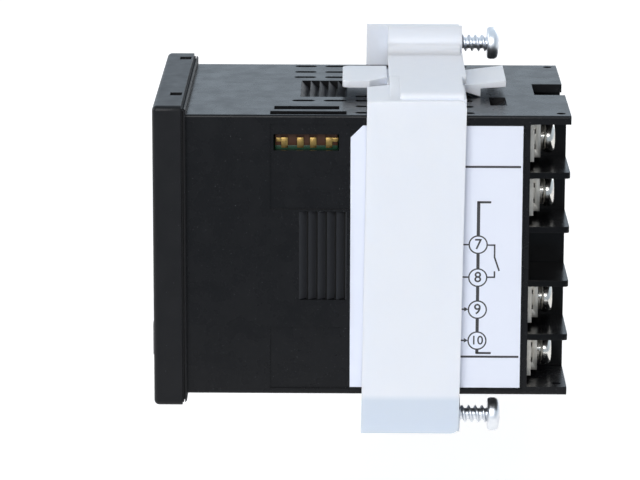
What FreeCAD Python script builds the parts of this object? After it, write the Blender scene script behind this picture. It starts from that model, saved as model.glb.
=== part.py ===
import FreeCAD, Part
import os
import re
import Sketcher

# Panel-mounted PID temperature controller with a 48 mm square front, its mounting adapter and its
# terminals. +X is to the right seen from the front, +Y runs from the panel to the rear, +Z is up.
# The origin is the centre of the panel seat, behind the bezel. All lengths are in millimetres.

SIZES = [
    # front
    ("BezelSide", 48.0, "outer side of the square bezel"),
    ("BezelDepth", 4.78, "bezel front to panel seat"),
    ("BezelRound", 0.8, "radius round the bezel's front edge"),
    ("BezelFace", 1.33, "thickness of the bezel's front wall"),
    ("GasketLand", 0.3, "how far the gasket reaches in front of the seat"),
    ("GasketLip", 0.37, "how far the gasket reaches behind the seat"),
    ("GasketWide", 1.1, "how far the gasket reaches beyond the case"),
    ("GasketGroove", 0.15, "width of the groove between the gasket's lips"),
    ("WindowWide", 39.2, "display window, across"),
    ("WindowTop", 20.2, "top of the display window"),
    ("WindowFoot", -7.4, "foot of the display window"),
    ("LensFlange", 0.7, "thickness of the lens flange"),
    ("LensInset", 0.3, "lens face behind the bezel's face"),
    ("LensMargin", 0.6, "how far the lens flange reaches beyond the window"),
    ("DisplayMargin", 0.9, "how far the display module stays inside the window"),
    ("KeyWide", 7.4, "key cap, across"),
    ("KeyTall", 5.4, "key cap, height"),
    ("KeyPitch", 9.6, "key to key"),
    ("KeyLevel", -14.7, "height of the keys' centres"),
    ("KeyProud", 0.4, "key cap in front of the bezel's face"),
    ("KeyTravel", 0.5, "how far a key goes in"),
    ("KeyGap", 0.2, "clearance round a key"),
    ("KeyRound", 0.6, "corner radius of a key"),
    ("MatThick", 0.8, "thickness of the key mat"),
    ("DomeGap", 0.1, "clearance between a pressed key and its dome"),
    ("FrontGap", 0.05, "clearance of the lens and the neck in the bezel"),
    ("SnapFirst", -18.7, "place of the first bezel hook"),
    ("SnapSecond", 13.5, "place of the second bezel hook"),
    ("SnapWide", 2.4, "width of a bezel hook's window"),
    ("SnapFront", 2.45, "front of a bezel hook's window before the seat"),
    ("SnapRear", 0.6, "rear of a bezel hook's window before the seat"),
    # case
    ("BodySide", 44.8, "outer side of the case, for a 45 mm cut-out"),
    ("BodyDepth", 60.2, "panel seat to the rear end"),
    ("BodyRound", 0.4, "radius along the case's edges"),
    ("FitGap", 0.2, "clearance between pieces that are put together"),
    ("Wall", 1.35, "case wall"),
    ("NeckDepth", 3.4, "case neck inside the bezel"),
    ("RackStart", 18.0, "front end of the ratchet racks"),
    ("RackPitch", 1.46, "tooth to tooth"),
    ("RackDeep", 1.2, "tooth depth"),
    ("RackRoot", 0.3, "flat at the root of a tooth"),
    ("RackWide", 14.2, "length of a tooth"),
    ("RackBacking", 1.15, "extra wall behind a rack"),
    ("RackMargin", 1.0, "how far that wall reaches past the teeth"),
    ("VentStart", 16.7, "front end of the first vents"),
    ("VentPitch", 5.0, "vent to vent"),
    ("VentLong", 3.6, "length of a vent"),
    ("VentWide", 1.4, "width of a vent"),
    ("VentRowA", 6.6, "innermost row of vents"),
    ("VentRowB", 10.25, "second row of vents"),
    ("VentRowC", 15.0, "third row of vents"),
    ("VentRowD", 20.25, "outermost row of vents"),
    ("LatchNear", 7.0, "inner end of a latch window"),
    ("LatchFar", 13.8, "outer end of a latch window"),
    ("LatchEnd", 9.65, "rear end to the rear of the latch windows"),
    ("LatchLong", 2.6, "latch windows, front to rear"),
    ("NotchWide", 9.5, "rear notch"),
    ("NotchDeep", 4.9, "depth of the rear notch"),
    ("PinHole", 1.4, "diameter of the rear corner holes"),
    ("PinHoleFar", 20.3, "rear corner holes, from the middle"),
    ("PinHoleRear", 1.5, "rear corner holes, from the rear end"),
    ("RecessDeep", 0.35, "depth of the label recess"),
    ("RecessFront", 13.45, "front of the label recess"),
    ("RecessEnd", 7.0, "rear end to the rear of the label recess"),
    ("RecessTop", 21.0, "top of the label recess"),
    ("RecessFoot", -21.5, "foot of the label recess"),
    ("IslandTop", 7.4, "top of the raised field round the side rack"),
    ("IslandFoot", -11.5, "foot of the raised field"),
    ("IslandRear", 25.9, "rear of the raised field"),
    # service port
    ("PortFront", 14.0, "front of the service port"),
    ("PortRear", 24.2, "rear of the service port"),
    ("PortFoot", 16.7, "foot of the service port"),
    ("PortTop", 19.3, "top of the service port"),
    ("PortPitch", 2.32, "contact to contact"),
    ("PortPin", 1.03, "width of a contact"),
    ("SlotNear", 14.9, "inner slot above the service port"),
    ("SlotFar", 19.1, "outer slot above the service port"),
    ("SlotWide", 2.75, "width of the slots above the service port"),
    # terminals
    ("BayDeep", 6.3, "depth of the terminal bays"),
    ("BayPitch", 8.65, "bay to bay"),
    ("BayTall", 7.65, "height of a bay"),
    ("BayEnd", 0.1, "clearance at the inner end of a bay"),
    ("BayFloorThick", 1.0, "thickness of the bays' floor"),
    ("ChannelHalf", 8.75, "half width of the rear channel"),
    ("ChannelDeep", 5.3, "depth of the rear channel"),
    ("FinRound", 0.6, "radius of the fins' outer corners"),
    ("TermX", 12.4, "terminal screws, from the middle"),
    ("PlateThick", 0.8, "terminal plate"),
    ("PlateTall", 5.9, "terminal plate, height"),
    ("PlateOut", 6.1, "terminal plate, outward of the screw"),
    ("ClampSide", 5.8, "square clamp washer"),
    ("ClampThick", 1.15, "square clamp washer"),
    ("SpringThick", 0.6, "spring washer"),
    ("SpringRadius", 2.35, "spring washer"),
    ("ScrewRadius", 1.5, "terminal screw shank"),
    ("ScrewHead", 2.65, "radius of the terminal screw's head"),
    ("ScrewHeadTall", 1.85, "height of the terminal screw's head"),
    ("TipCut", 0.4, "chamfer at a screw's tip"),
    ("DriveWide", 0.7, "width of a screw's cross recess"),
    ("DriveShare", 0.62, "reach of the cross recess, as a share of the head's radius"),
    ("CrownShare", 0.55, "rounding of a head's rim, as a share of its height"),
    ("RunningGap", 0.06, "radial clearance of a screw in its hole"),
    # mounting adapter
    ("RingGap", 0.2, "clearance between the adapter and the case"),
    ("RingThick", 1.4, "adapter wall"),
    ("RingFront", 28.5, "front of the adapter's side plates"),
    ("RingRear", 43.9, "rear of the adapter's side plates"),
    ("PlateRound", 1.2, "corner radius of the side plates and of the lever"),
    ("PlateShort", 24.95, "short end of a side plate"),
    ("PlateLong", 28.35, "long end of a side plate"),
    ("CrestTop", 29.0, "top of the crest on the upper long end"),
    ("ShelfFront", 12.0, "inner edge of the shelf at its front end"),
    ("ShelfInner", 10.3, "inner edge of the shelf beside the bridge"),
    ("ShelfThick", 1.2, "thickness of the shelf"),
    ("BridgeFront", 33.6, "front of the bridge"),
    ("BridgeRear", 43.5, "rear of the bridge"),
    ("BridgeTop", 26.0, "top of the bridge"),
    ("BridgeSkin", 1.2, "thickness of the bridge"),
    ("BossFront", 32.0, "front of the screw boss"),
    ("BossRear", 44.2, "rear of the screw boss"),
    ("BossX", 17.0, "screw boss, from the middle"),
    ("BossLevel", 27.05, "screw boss, above the middle"),
    ("BossRadius", 2.85, "screw boss"),
    ("LeverWide", 13.6, "width of the latch lever"),
    ("LeverFront", 24.6, "front of the latch lever"),
    ("LeverRear", 50.6, "rear of the latch lever"),
    ("LeverFoot", 23.4, "underside of the latch lever"),
    ("LeverRise", 0.6, "rise of the lever's tail"),
    ("LeverThick", 1.1, "thickness of the latch lever"),
    ("TongueFoot", 23.85, "underside of the lever's front tongue"),
    ("TongueTop", 24.95, "top of the lever's front tongue"),
    ("TongueEnd", 31.7, "rear end of the front tongue"),
    ("NicheFront", 28.9, "front end of the niche in the tongue's side"),
    ("NicheDeep", 3.6, "depth of the niche in the tongue's side"),
    ("PawlTip", 46.6, "the pawl's upright face"),
    ("PawlGap", 0.1, "clearance of the pawl above the case"),
    ("ClampRadius", 1.4, "clamp screw thread"),
    ("ClampHead", 2.65, "radius of the clamp screw's head"),
    ("ClampHeadTall", 2.0, "height of the clamp screw's head"),
    ("ClampUnder", 48.2, "underside of the clamp screw's head"),
    ("ClampLong", 15.0, "length of the clamp screw's shank"),
    # electronics and label
    ("BoardThick", 1.6, "circuit board"),
    ("LogicTop", 16.7, "upper face of the logic board"),
    ("PowerTop", -9.0, "upper face of the power board"),
    ("CoreNear", -14.0, "one side of the transformer's core"),
    ("CoreWide", 15.0, "transformer core, across"),
    ("CoreFront", 20.0, "front of the transformer's core"),
    ("CoreLong", 16.0, "transformer core, front to rear"),
    ("CoreTall", 13.0, "transformer core, height"),
    ("CoilStep", 2.0, "how far the coil is inside or beyond the core"),
    ("RelayNear", 5.0, "one side of the output relay"),
    ("RelayWide", 10.0, "output relay, across"),
    ("RelayFront", 24.0, "front of the output relay"),
    ("RelayLong", 20.0, "output relay, front to rear"),
    ("RelayTall", 15.0, "output relay, height"),
    ("CapRadius", 4.5, "bulk capacitor"),
    ("CapPlace", 10.0, "bulk capacitor, from the middle and from the seat"),
    ("CapTall", 20.0, "bulk capacitor, height"),
    ("ChipSide", 10.0, "processor chip"),
    ("ChipFront", 30.0, "front of the processor chip"),
    ("ChipThick", 1.4, "processor chip, height"),
    ("LabelThick", 0.12, "side label"),
    ("LabelFront", 26.0, "front of the side label"),
    ("LabelEnd", 7.4, "rear end to the rear of the side label"),
    ("LabelTop", 20.75, "top of the side label"),
    ("LabelFoot", -21.3, "foot of the side label"),
    ("LabelCorner", 1.9, "cut corner of the side label"),
]

NORMAL = FreeCAD.Vector(0, 0, 1)
QUARTER = 1.5707963267948966
TERMINAL_BAYS = (-2, -1, 1, 2)  # the middle bay of each column is blank
KEY_NAMES = ("set_key", "shift_key", "down_key", "up_key")
RACK_TEETH = 5
OUTER_VENTS = 6
INNER_VENTS = 4
CONTACTS = 4
INNER_SIDE = "(BodySide / 2 - Wall)"
BAY_FLOOR = "(BodyDepth - BayDeep)"
BAY_INNER = "(TermX - ClampSide / 2 - BayEnd)"
LATCH_REAR = "(BodyDepth - LatchEnd)"
LATCH_FRONT = f"({LATCH_REAR} - LatchLong)"
BEYOND_REAR = "BodyDepth + Wall"

doc = FreeCAD.newDocument("temperature_controller")
sheet = doc.addObject("Spreadsheet::Sheet", "Sizes")
for row, (alias, value, note) in enumerate(SIZES, start=1):
    sheet.set(f"A{row}", note)
    sheet.set(f"B{row}", str(value))
    sheet.setAlias(f"B{row}", alias)
doc.recompute()


def fx(text):
    """An expression in which every capitalised word is a cell of the sheet."""
    return re.sub(r"\b[A-Z][A-Za-z]+", r"Sizes.\g<0>", str(text))


def number(text):
    """The present value of an expression."""
    result = sheet.evalExpression(fx(text))
    return float(getattr(result, "Value", result))


# Part primitives -----------------------------------------------------------------------------


def box(label, across, along, up):
    """A block between two expressions on each axis."""
    solid = doc.addObject("Part::Box", label)
    sides = (("Length", "x", across), ("Width", "y", along), ("Height", "z", up))
    for side, axis, (low, high) in sides:
        solid.setExpression(side, fx(f"({high}) - ({low})"))
        solid.setExpression(f"Placement.Base.{axis}", fx(low))
    return solid


def rod(label, radius, across, along, up, direction="Y"):
    """A cylinder along Y or Z; the pair of expressions is its two ends."""
    solid = doc.addObject("Part::Cylinder", label)
    low, high = along if direction == "Y" else up
    if direction == "Y":
        solid.Placement.Rotation = FreeCAD.Rotation(FreeCAD.Vector(1, 0, 0), -90)
    solid.setExpression("Radius", fx(radius))
    solid.setExpression("Height", fx(f"({high}) - ({low})"))
    solid.setExpression("Placement.Base.x", fx(across))
    solid.setExpression("Placement.Base.y", fx(low if direction == "Y" else along))
    solid.setExpression("Placement.Base.z", fx(up if direction == "Y" else low))
    return solid


def fuse(label, solids):
    """One solid from several that meet."""
    joined = doc.addObject("Part::MultiFuse", label)
    joined.Shapes = solids
    joined.Refine = True
    return joined


def cut(label, base, tool):
    """The base without the tool."""
    result = doc.addObject("Part::Cut", label)
    result.Base = base
    result.Tool = tool
    return result


def group(label, solids):
    """Several separate solids as one object."""
    together = doc.addObject("Part::Compound", label)
    together.Links = solids
    return together


# PartDesign ----------------------------------------------------------------------------------


def new_body(label):
    """An empty body with its own origin planes."""
    body = doc.addObject("PartDesign::Body", label)
    doc.recompute()
    return body


def origin(body, role):
    """One of the body's origin planes or axes."""
    return next(item for item in body.Origin.OriginFeatures if item.Role == role)


def sketch(body, name, plane, offset="0"):
    """A sketch on an origin plane, moved along the plane's normal."""
    drawing = body.newObject("Sketcher::SketchObject", name)
    drawing.AttachmentSupport = [(origin(body, plane), "")]
    drawing.MapMode = "FlatFace"
    drawing.setExpression("AttachmentOffset.Base.z", fx(offset))
    return drawing


def pin(drawing, kind, item, point, expression):
    """Ties one coordinate of a point to an expression."""
    made = drawing.addConstraint(Sketcher.Constraint(kind, -1, 1, item, point, number(expression)))
    drawing.setExpression(f"Constraints[{made}]", fx(expression))


def loop(drawing, corners):
    """A closed outline of straight lines through corners, each a pair of expressions.

    A corner with a third expression is rounded to that radius: the outline then runs
    anticlockwise, and the corner is a right angle that points outward."""
    points = [FreeCAD.Vector(number(corner[0]), number(corner[1]), 0) for corner in corners]
    count = len(points)
    starts, ends, arcs = list(points), list(points), {}
    for item, corner in enumerate(corners):
        if len(corner) == 3:
            radius = number(corner[2])
            back = (points[item - 1] - points[item]).normalize() * radius
            onward = (points[(item + 1) % count] - points[item]).normalize() * radius
            ends[item], starts[item] = points[item] + back, points[item] + onward
            arcs[item] = (points[item] + back + onward, radius, back + onward)
    sides = []
    for item in range(count):
        side = Part.LineSegment(starts[item], ends[(item + 1) % count])
        sides.append(drawing.addGeometry(side, False))
    for item, corner in enumerate(corners):
        if item in arcs:
            centre, radius, inward = arcs[item]
            first = (ends[item] - centre).getAngle(FreeCAD.Vector(1, 0, 0))
            first = -first if (ends[item] - centre).y < 0 else first
            bend = Part.ArcOfCircle(Part.Circle(centre, NORMAL, radius), first, first + QUARTER)
            bend = drawing.addGeometry(bend, False)
            drawing.addConstraint(Sketcher.Constraint("Tangent", sides[item - 1], 2, bend, 1))
            drawing.addConstraint(Sketcher.Constraint("Tangent", bend, 2, sides[item], 1))
            pin(drawing, "DistanceX", bend, 3, f"{corner[0]} + {inward.x / radius:.0f} * ({corner[2]})")
            pin(drawing, "DistanceY", bend, 3, f"{corner[1]} + {inward.y / radius:.0f} * ({corner[2]})")
            made = drawing.addConstraint(Sketcher.Constraint("Radius", bend, radius))
            drawing.setExpression(f"Constraints[{made}]", fx(corner[2]))
        else:
            joint = Sketcher.Constraint("Coincident", sides[item - 1], 2, sides[item], 1)
            drawing.addConstraint(joint)
            pin(drawing, "DistanceX", sides[item], 1, corner[0])
            pin(drawing, "DistanceY", sides[item], 1, corner[1])


def rectangle(drawing, across, up, radius=None):
    """A rectangle between two expressions each way, with round corners if a radius is given."""
    corners = [(across[i], up[j]) for i, j in ((0, 0), (1, 0), (1, 1), (0, 1))]
    loop(drawing, [corner + (radius,) for corner in corners] if radius else corners)


def square(drawing, half):
    """A square about the middle."""
    rectangle(drawing, (f"-({half})", half), (f"-({half})", half))


def circle(drawing, radius, across, up):
    """A circle about a point."""
    centre = FreeCAD.Vector(number(across), number(up), 0)
    item = drawing.addGeometry(Part.Circle(centre, NORMAL, number(radius)), False)
    pin(drawing, "DistanceX", item, 3, across)
    pin(drawing, "DistanceY", item, 3, up)
    made = drawing.addConstraint(Sketcher.Constraint("Radius", item, number(radius)))
    drawing.setExpression(f"Constraints[{made}]", fx(radius))


def slot(drawing, across, start, long, wide):
    """A slot with round ends, running along the sketch's second axis."""
    centre, low, length, width = number(across), number(start), number(long), number(wide)
    radius = width / 2
    foot = FreeCAD.Vector(centre, low + radius, 0)
    head = FreeCAD.Vector(centre, low + length - radius, 0)
    side = FreeCAD.Vector(radius, 0, 0)
    foot_arc = Part.ArcOfCircle(Part.Circle(foot, NORMAL, radius), 2 * QUARTER, 4 * QUARTER)
    head_arc = Part.ArcOfCircle(Part.Circle(head, NORMAL, radius), 0, 2 * QUARTER)
    right = drawing.addGeometry(Part.LineSegment(foot + side, head + side), False)
    top = drawing.addGeometry(head_arc, False)
    left = drawing.addGeometry(Part.LineSegment(head - side, foot - side), False)
    bottom = drawing.addGeometry(foot_arc, False)
    ring = (right, top, left, bottom)
    for item, following in zip(ring, ring[1:] + ring[:1]):
        drawing.addConstraint(Sketcher.Constraint("Tangent", item, 2, following, 1))
    pin(drawing, "DistanceX", bottom, 3, across)
    pin(drawing, "DistanceY", bottom, 3, f"({start}) + ({wide}) / 2")
    pin(drawing, "DistanceX", top, 3, across)
    pin(drawing, "DistanceY", top, 3, f"({start}) + ({long}) - ({wide}) / 2")
    made = drawing.addConstraint(Sketcher.Constraint("Radius", top, radius))
    drawing.setExpression(f"Constraints[{made}]", fx(f"({wide}) / 2"))


def extrude(body, kind, name, profile, length, reversed_way=False, both_ways=False):
    """A pad or a pocket of a sketch, by a length or, with no length, through everything."""
    feature = body.newObject(f"PartDesign::{kind}", name)
    feature.Profile = profile
    feature.Reversed = reversed_way
    feature.Midplane = both_ways
    if length is None:
        feature.Type = "ThroughAll"
    else:
        feature.setExpression("Length", fx(length))
    doc.recompute()
    return feature


def pad(body, name, profile, length, **ways):
    """Adds an extruded sketch."""
    return extrude(body, "Pad", name, profile, length, **ways)


def pocket(body, name, profile, length=None, **ways):
    """Removes an extruded sketch, and proves that it removed something."""
    before = body.Shape.Volume
    feature = extrude(body, "Pocket", name, profile, length, **ways)
    if feature.Shape.Volume > before - 1e-6:
        raise RuntimeError(f"{name} removes nothing")
    return feature


def pattern(body, name, features, *steps, refine=True):
    """Repeats features by rows, turns and mirrors, each step a (kind, role, count, size) tuple."""
    repeat = body.newObject("PartDesign::MultiTransform", name)
    made = []
    for number_of_step, (kind, role, count, size) in enumerate(steps):
        step = doc.addObject(f"PartDesign::{kind}", f"{name}_step{number_of_step}")
        if kind == "Mirrored":
            step.MirrorPlane = (origin(body, role), [""])
        elif kind == "LinearPattern":
            step.Direction = (origin(body, role), [""])
            step.setExpression("Length", fx(f"({size}) * {count - 1}"))
            step.Occurrences = count
        else:
            step.Axis = (origin(body, role), [""])
            step.Angle = 360
            step.Occurrences = count
        body.addObject(step)
        made.append(step)
    repeat.Refine = refine
    repeat.Originals = features
    repeat.Transformations = made
    body.Tip = repeat
    doc.recompute()
    return repeat


def row(role, count, size):
    """A step of a pattern: copies in a row."""
    return ("LinearPattern", role, count, size)


def turn(role, count):
    """A step of a pattern: copies about an axis."""
    return ("PolarPattern", role, count, None)


def mirror(role):
    """A step of a pattern: a mirrored copy."""
    return ("Mirrored", role, 2, None)


def dress(body, kind, name, size, wanted):
    """A fillet or chamfer on the edges of the body that the test wants."""
    tip = body.Tip
    names = [f"Edge{i}" for i, edge in enumerate(tip.Shape.Edges, start=1) if wanted(edge)]
    feature = body.newObject(f"PartDesign::{kind}", name)
    feature.Base = (tip, names)
    feature.setExpression("Radius" if kind == "Fillet" else "Size", fx(size))
    doc.recompute()
    return feature


def runs_along(edge, axis):
    """Whether an edge is straight along x, y or z."""
    if edge.Degenerated or edge.Curve.TypeId != "Part::GeomLine":
        return False
    start, end = edge.Vertexes[0].Point, edge.Vertexes[-1].Point
    return all(abs(getattr(start, other) - getattr(end, other)) < 1e-6 for other in "xyz" if other != axis)


def near(value, target):
    """Whether two lengths are the same."""
    return abs(value - target) < 1e-4


# The case: a square tube with a neck, racks, vents, windows and label recesses ----------------


def make_case():
    """The moulded case."""
    case = new_body("case")
    outline = sketch(case, "case_outline", "XZ_Plane", "NeckDepth")
    square(outline, "BodySide / 2")
    pad(case, "case_block", outline, "BodyDepth + NeckDepth", reversed_way=True)
    dress(case, "Fillet", "case_edges", "BodyRound", lambda edge: runs_along(edge, "y"))
    bore = sketch(case, "case_bore", "XZ_Plane")
    square(bore, INNER_SIDE)
    pocket(case, "case_hollow", bore, None, both_ways=True)
    side_gap = sketch(case, "terminal_sides", "YZ_Plane")
    rectangle(side_gap, (BAY_FLOOR, BEYOND_REAR), (f"-{INNER_SIDE}", INNER_SIDE))
    pocket(case, "terminal_openings", side_gap, None, both_ways=True)
    add_racks(case)
    add_bezel_hooks(case)
    cut_recesses(case)
    cut_windows(case)
    cut_vents(case)


def cut_vents(case):
    """Rows of round-ended slots through the top and the underside."""
    outer = sketch(case, "outer_vents", "XY_Plane", "BodySide / 2")
    for across in ("-VentRowD", "-VentRowC", "-VentRowB", "VentRowB"):
        slot(outer, across, "VentStart", "VentLong", "VentWide")
    slots = pocket(case, "outer_vent_slots", outer, "Wall")
    rows = row("Y_Axis", OUTER_VENTS, "VentPitch")
    pattern(case, "outer_vent_rows", [slots], rows, mirror("XY_Plane"), refine=False)
    inner = sketch(case, "inner_vents", "XY_Plane", "BodySide / 2")
    for across in ("-VentRowA", "VentRowA", "VentRowC", "VentRowD"):
        slot(inner, across, "VentStart + 2 * VentPitch", "VentLong", "VentWide")
    slots = pocket(case, "inner_vent_slots", inner, "Wall")
    rows = row("Y_Axis", INNER_VENTS, "VentPitch")
    pattern(case, "inner_vent_rows", [slots], rows, mirror("XY_Plane"), refine=False)


def cut_windows(case):
    """The latch windows, rear notches and corner holes, and the slots over the service port."""
    through = sketch(case, "top_windows", "XY_Plane")
    rectangle(through, ("LatchNear", "LatchFar"), (LATCH_FRONT, LATCH_REAR))
    rectangle(through, ("-LatchFar", "-LatchNear"), (LATCH_FRONT, LATCH_REAR))
    rectangle(through, ("-NotchWide / 2", "NotchWide / 2"), ("BodyDepth - NotchDeep", BEYOND_REAR))
    for side in ("-PinHoleFar", "PinHoleFar"):
        circle(through, "PinHole / 2", side, "BodyDepth - PinHoleRear")
    pocket(case, "top_and_bottom_windows", through, None, both_ways=True)
    above = sketch(case, "port_slots", "XY_Plane", "BodySide / 2")
    rectangle(above, ("SlotNear", "SlotNear + SlotWide"), ("PortFront", "PortRear"))
    rectangle(above, ("SlotFar", "SlotFar + SlotWide"), ("RecessFront", "PortRear + RackBacking"))
    pocket(case, "port_slot_windows", above, "Wall")
    beside = sketch(case, "port_outline", "YZ_Plane", "BodySide / 2")
    rectangle(beside, ("PortFront", "PortRear"), ("PortFoot", "PortTop"))
    pocket(case, "port_window", beside, "Wall")


def add_racks(case):
    """A ratchet rack in each of the four sides, with a thicker wall behind it."""
    behind = sketch(case, "rack_backing_outline", "YZ_Plane")
    along = ("RackStart - RackMargin", f"RackStart + {RACK_TEETH} * RackPitch + RackMargin")
    rectangle(behind, along, (f"{INNER_SIDE} - RackBacking", f"{INNER_SIDE} + Wall / 2"))
    backing = pad(case, "rack_backing", behind, "RackWide + 2 * RackMargin", both_ways=True)
    pattern(case, "rack_backings", [backing], turn("Y_Axis", 4))
    tooth = sketch(case, "rack_tooth_outline", "YZ_Plane")
    face, root = "BodySide / 2", "BodySide / 2 - RackDeep"
    loop(
        tooth,
        [
            ("RackStart", face),
            ("RackStart + RackPitch - RackRoot", root),
            ("RackStart + RackPitch", root),
            ("RackStart + RackPitch", f"{face} + Wall"),
            ("RackStart", f"{face} + Wall"),
        ],
    )
    notch = pocket(case, "rack_tooth", tooth, "RackWide", both_ways=True)
    pattern(case, "rack_teeth", [notch], row("Y_Axis", RACK_TEETH, "RackPitch"), turn("Y_Axis", 4))


def cut_recesses(case):
    """The shallow label recess in each side, round the raised field of the rack."""
    recess = sketch(case, "recess_outline", "YZ_Plane", "BodySide / 2")
    loop(
        recess,
        [
            ("RecessFront", "IslandTop"),
            ("IslandRear", "IslandTop"),
            ("IslandRear", "IslandFoot"),
            ("RecessFront", "IslandFoot"),
            ("RecessFront", "RecessFoot"),
            ("BodyDepth - RecessEnd", "RecessFoot"),
            ("BodyDepth - RecessEnd", "RecessTop"),
            ("RecessFront", "RecessTop"),
        ],
    )
    hollow = pocket(case, "label_recess", recess, "RecessDeep")
    pattern(case, "label_recesses", [hollow], mirror("YZ_Plane"))


def add_bezel_hooks(case):
    """Wedges on the neck that snap into the bezel's windows, above and below."""
    hooks = []
    for name, place in (("first", "SnapFirst"), ("second", "SnapSecond")):
        wedge = sketch(case, f"{name}_hook_outline", "YZ_Plane", place)
        front, rear = "-SnapFront + FitGap", "-SnapRear - FitGap"
        loop(
            wedge,
            [
                (front, "BodySide / 2 - Wall / 2"),
                (rear, "BodySide / 2 - Wall / 2"),
                (rear, "BodySide / 2 + SnapRear"),
                (front, "BodySide / 2 + SnapRear / 4"),
            ],
        )
        hooks.append(pad(case, f"{name}_hook", wedge, "SnapWide - 2 * FitGap", both_ways=True))
    pattern(case, "bezel_hooks", hooks, mirror("XY_Plane"))


# The front: bezel, lens, display, keys and gasket ---------------------------------------------


def key_column(index):
    """The place of a key across the front."""
    return f"({index} - 1.5) * KeyPitch"


def make_bezel():
    """The square front frame, with the display window, the key openings and the snap windows."""
    bezel = new_body("front_bezel")
    outline = sketch(bezel, "bezel_outline", "XZ_Plane", "BezelDepth")
    square(outline, "BezelSide / 2")
    pad(bezel, "bezel_block", outline, "BezelDepth - GasketLand", reversed_way=True)
    face = number("-BezelDepth")
    dress(bezel, "Fillet", "bezel_corners", "BezelRound", lambda edge: runs_along(edge, "y"))
    dress(bezel, "Fillet", "bezel_rim", "BezelRound", lambda edge: edge.BoundBox.YMax < face + 1e-4)
    rear = sketch(bezel, "bezel_rear", "XZ_Plane", "GasketLand")
    square(rear, "BodySide / 2 + FrontGap")
    pocket(bezel, "bezel_hollow", rear, "BezelDepth - GasketLand - BezelFace", reversed_way=True)
    window = sketch(bezel, "window_outline", "XZ_Plane", "BezelDepth")
    rectangle(window, ("-WindowWide / 2", "WindowWide / 2"), ("WindowFoot", "WindowTop"))
    pocket(bezel, "display_window", window, "BezelFace + FrontGap")
    opening = sketch(bezel, "key_opening_outline", "XZ_Plane", "BezelDepth")
    across = ("-1.5 * KeyPitch - KeyWide / 2 - KeyGap", "-1.5 * KeyPitch + KeyWide / 2 + KeyGap")
    up = ("KeyLevel - KeyTall / 2 - KeyGap", "KeyLevel + KeyTall / 2 + KeyGap")
    rectangle(opening, across, up, "KeyRound + KeyGap")
    hole = pocket(bezel, "key_opening", opening, "BezelFace + FrontGap")
    pattern(bezel, "key_openings", [hole], row("X_Axis", 4, "KeyPitch"))
    snaps = sketch(bezel, "snap_outline", "XY_Plane")
    for place in ("SnapFirst", "SnapSecond"):
        rectangle(snaps, (f"{place} - SnapWide / 2", f"{place} + SnapWide / 2"), ("-SnapFront", "-SnapRear"))
    pocket(bezel, "snap_windows", snaps, None, both_ways=True)


def make_gasket():
    """The rubber ring behind the bezel, with a groove between its two lips."""
    gasket = new_body("panel_gasket")
    whole = sketch(gasket, "gasket_outline", "XZ_Plane", "GasketLand")
    side = "BodySide / 2 + GasketWide"
    square(whole, side)
    square(whole, "BodySide / 2")
    pad(gasket, "gasket_ring", whole, "GasketLand + GasketLip", reversed_way=True)
    groove = sketch(gasket, "gasket_groove_outline", "XZ_Plane", "GasketGroove / 2")
    square(groove, f"{side} + GasketLip")
    square(groove, f"{side} - GasketLip")
    pocket(gasket, "gasket_groove", groove, "GasketGroove")
    rear, outer = number("GasketLip"), number(side)

    def outer_rear(edge):
        low, high = edge.BoundBox.YMin, edge.BoundBox.YMax
        reach = max(abs(edge.BoundBox.Center.x), abs(edge.BoundBox.Center.z))
        return near(low, rear) and near(high, rear) and near(reach, outer)

    dress(gasket, "Chamfer", "gasket_taper", "GasketLip / 2", outer_rear)


def make_display():
    """The lens, the display module behind it and the board that carries it."""
    lens = new_body("display_lens")
    flange = sketch(lens, "lens_flange_outline", "XZ_Plane", "BezelDepth - BezelFace")
    across = ("-WindowWide / 2 - LensMargin", "WindowWide / 2 + LensMargin")
    rectangle(flange, across, ("WindowFoot - LensMargin", "WindowTop + LensMargin"))
    pad(lens, "lens_flange", flange, "LensFlange", reversed_way=True)
    face = sketch(lens, "lens_face_outline", "XZ_Plane", "BezelDepth - BezelFace")
    across = ("-WindowWide / 2 + FrontGap", "WindowWide / 2 - FrontGap")
    rectangle(face, across, ("WindowFoot + FrontGap", "WindowTop - FrontGap"))
    pad(lens, "lens_face", face, "BezelFace - LensInset")
    lens_back = "-BezelDepth + BezelFace + LensFlange"
    box(
        "display_module",
        ("-WindowWide / 2 + DisplayMargin", "WindowWide / 2 - DisplayMargin"),
        (lens_back, "GasketLip"),
        ("WindowFoot + DisplayMargin", "WindowTop - DisplayMargin"),
    )
    span = (f"-{INNER_SIDE}", INNER_SIDE)
    box("display_board", span, ("GasketLip", "GasketLip + BoardThick"), span)


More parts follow.
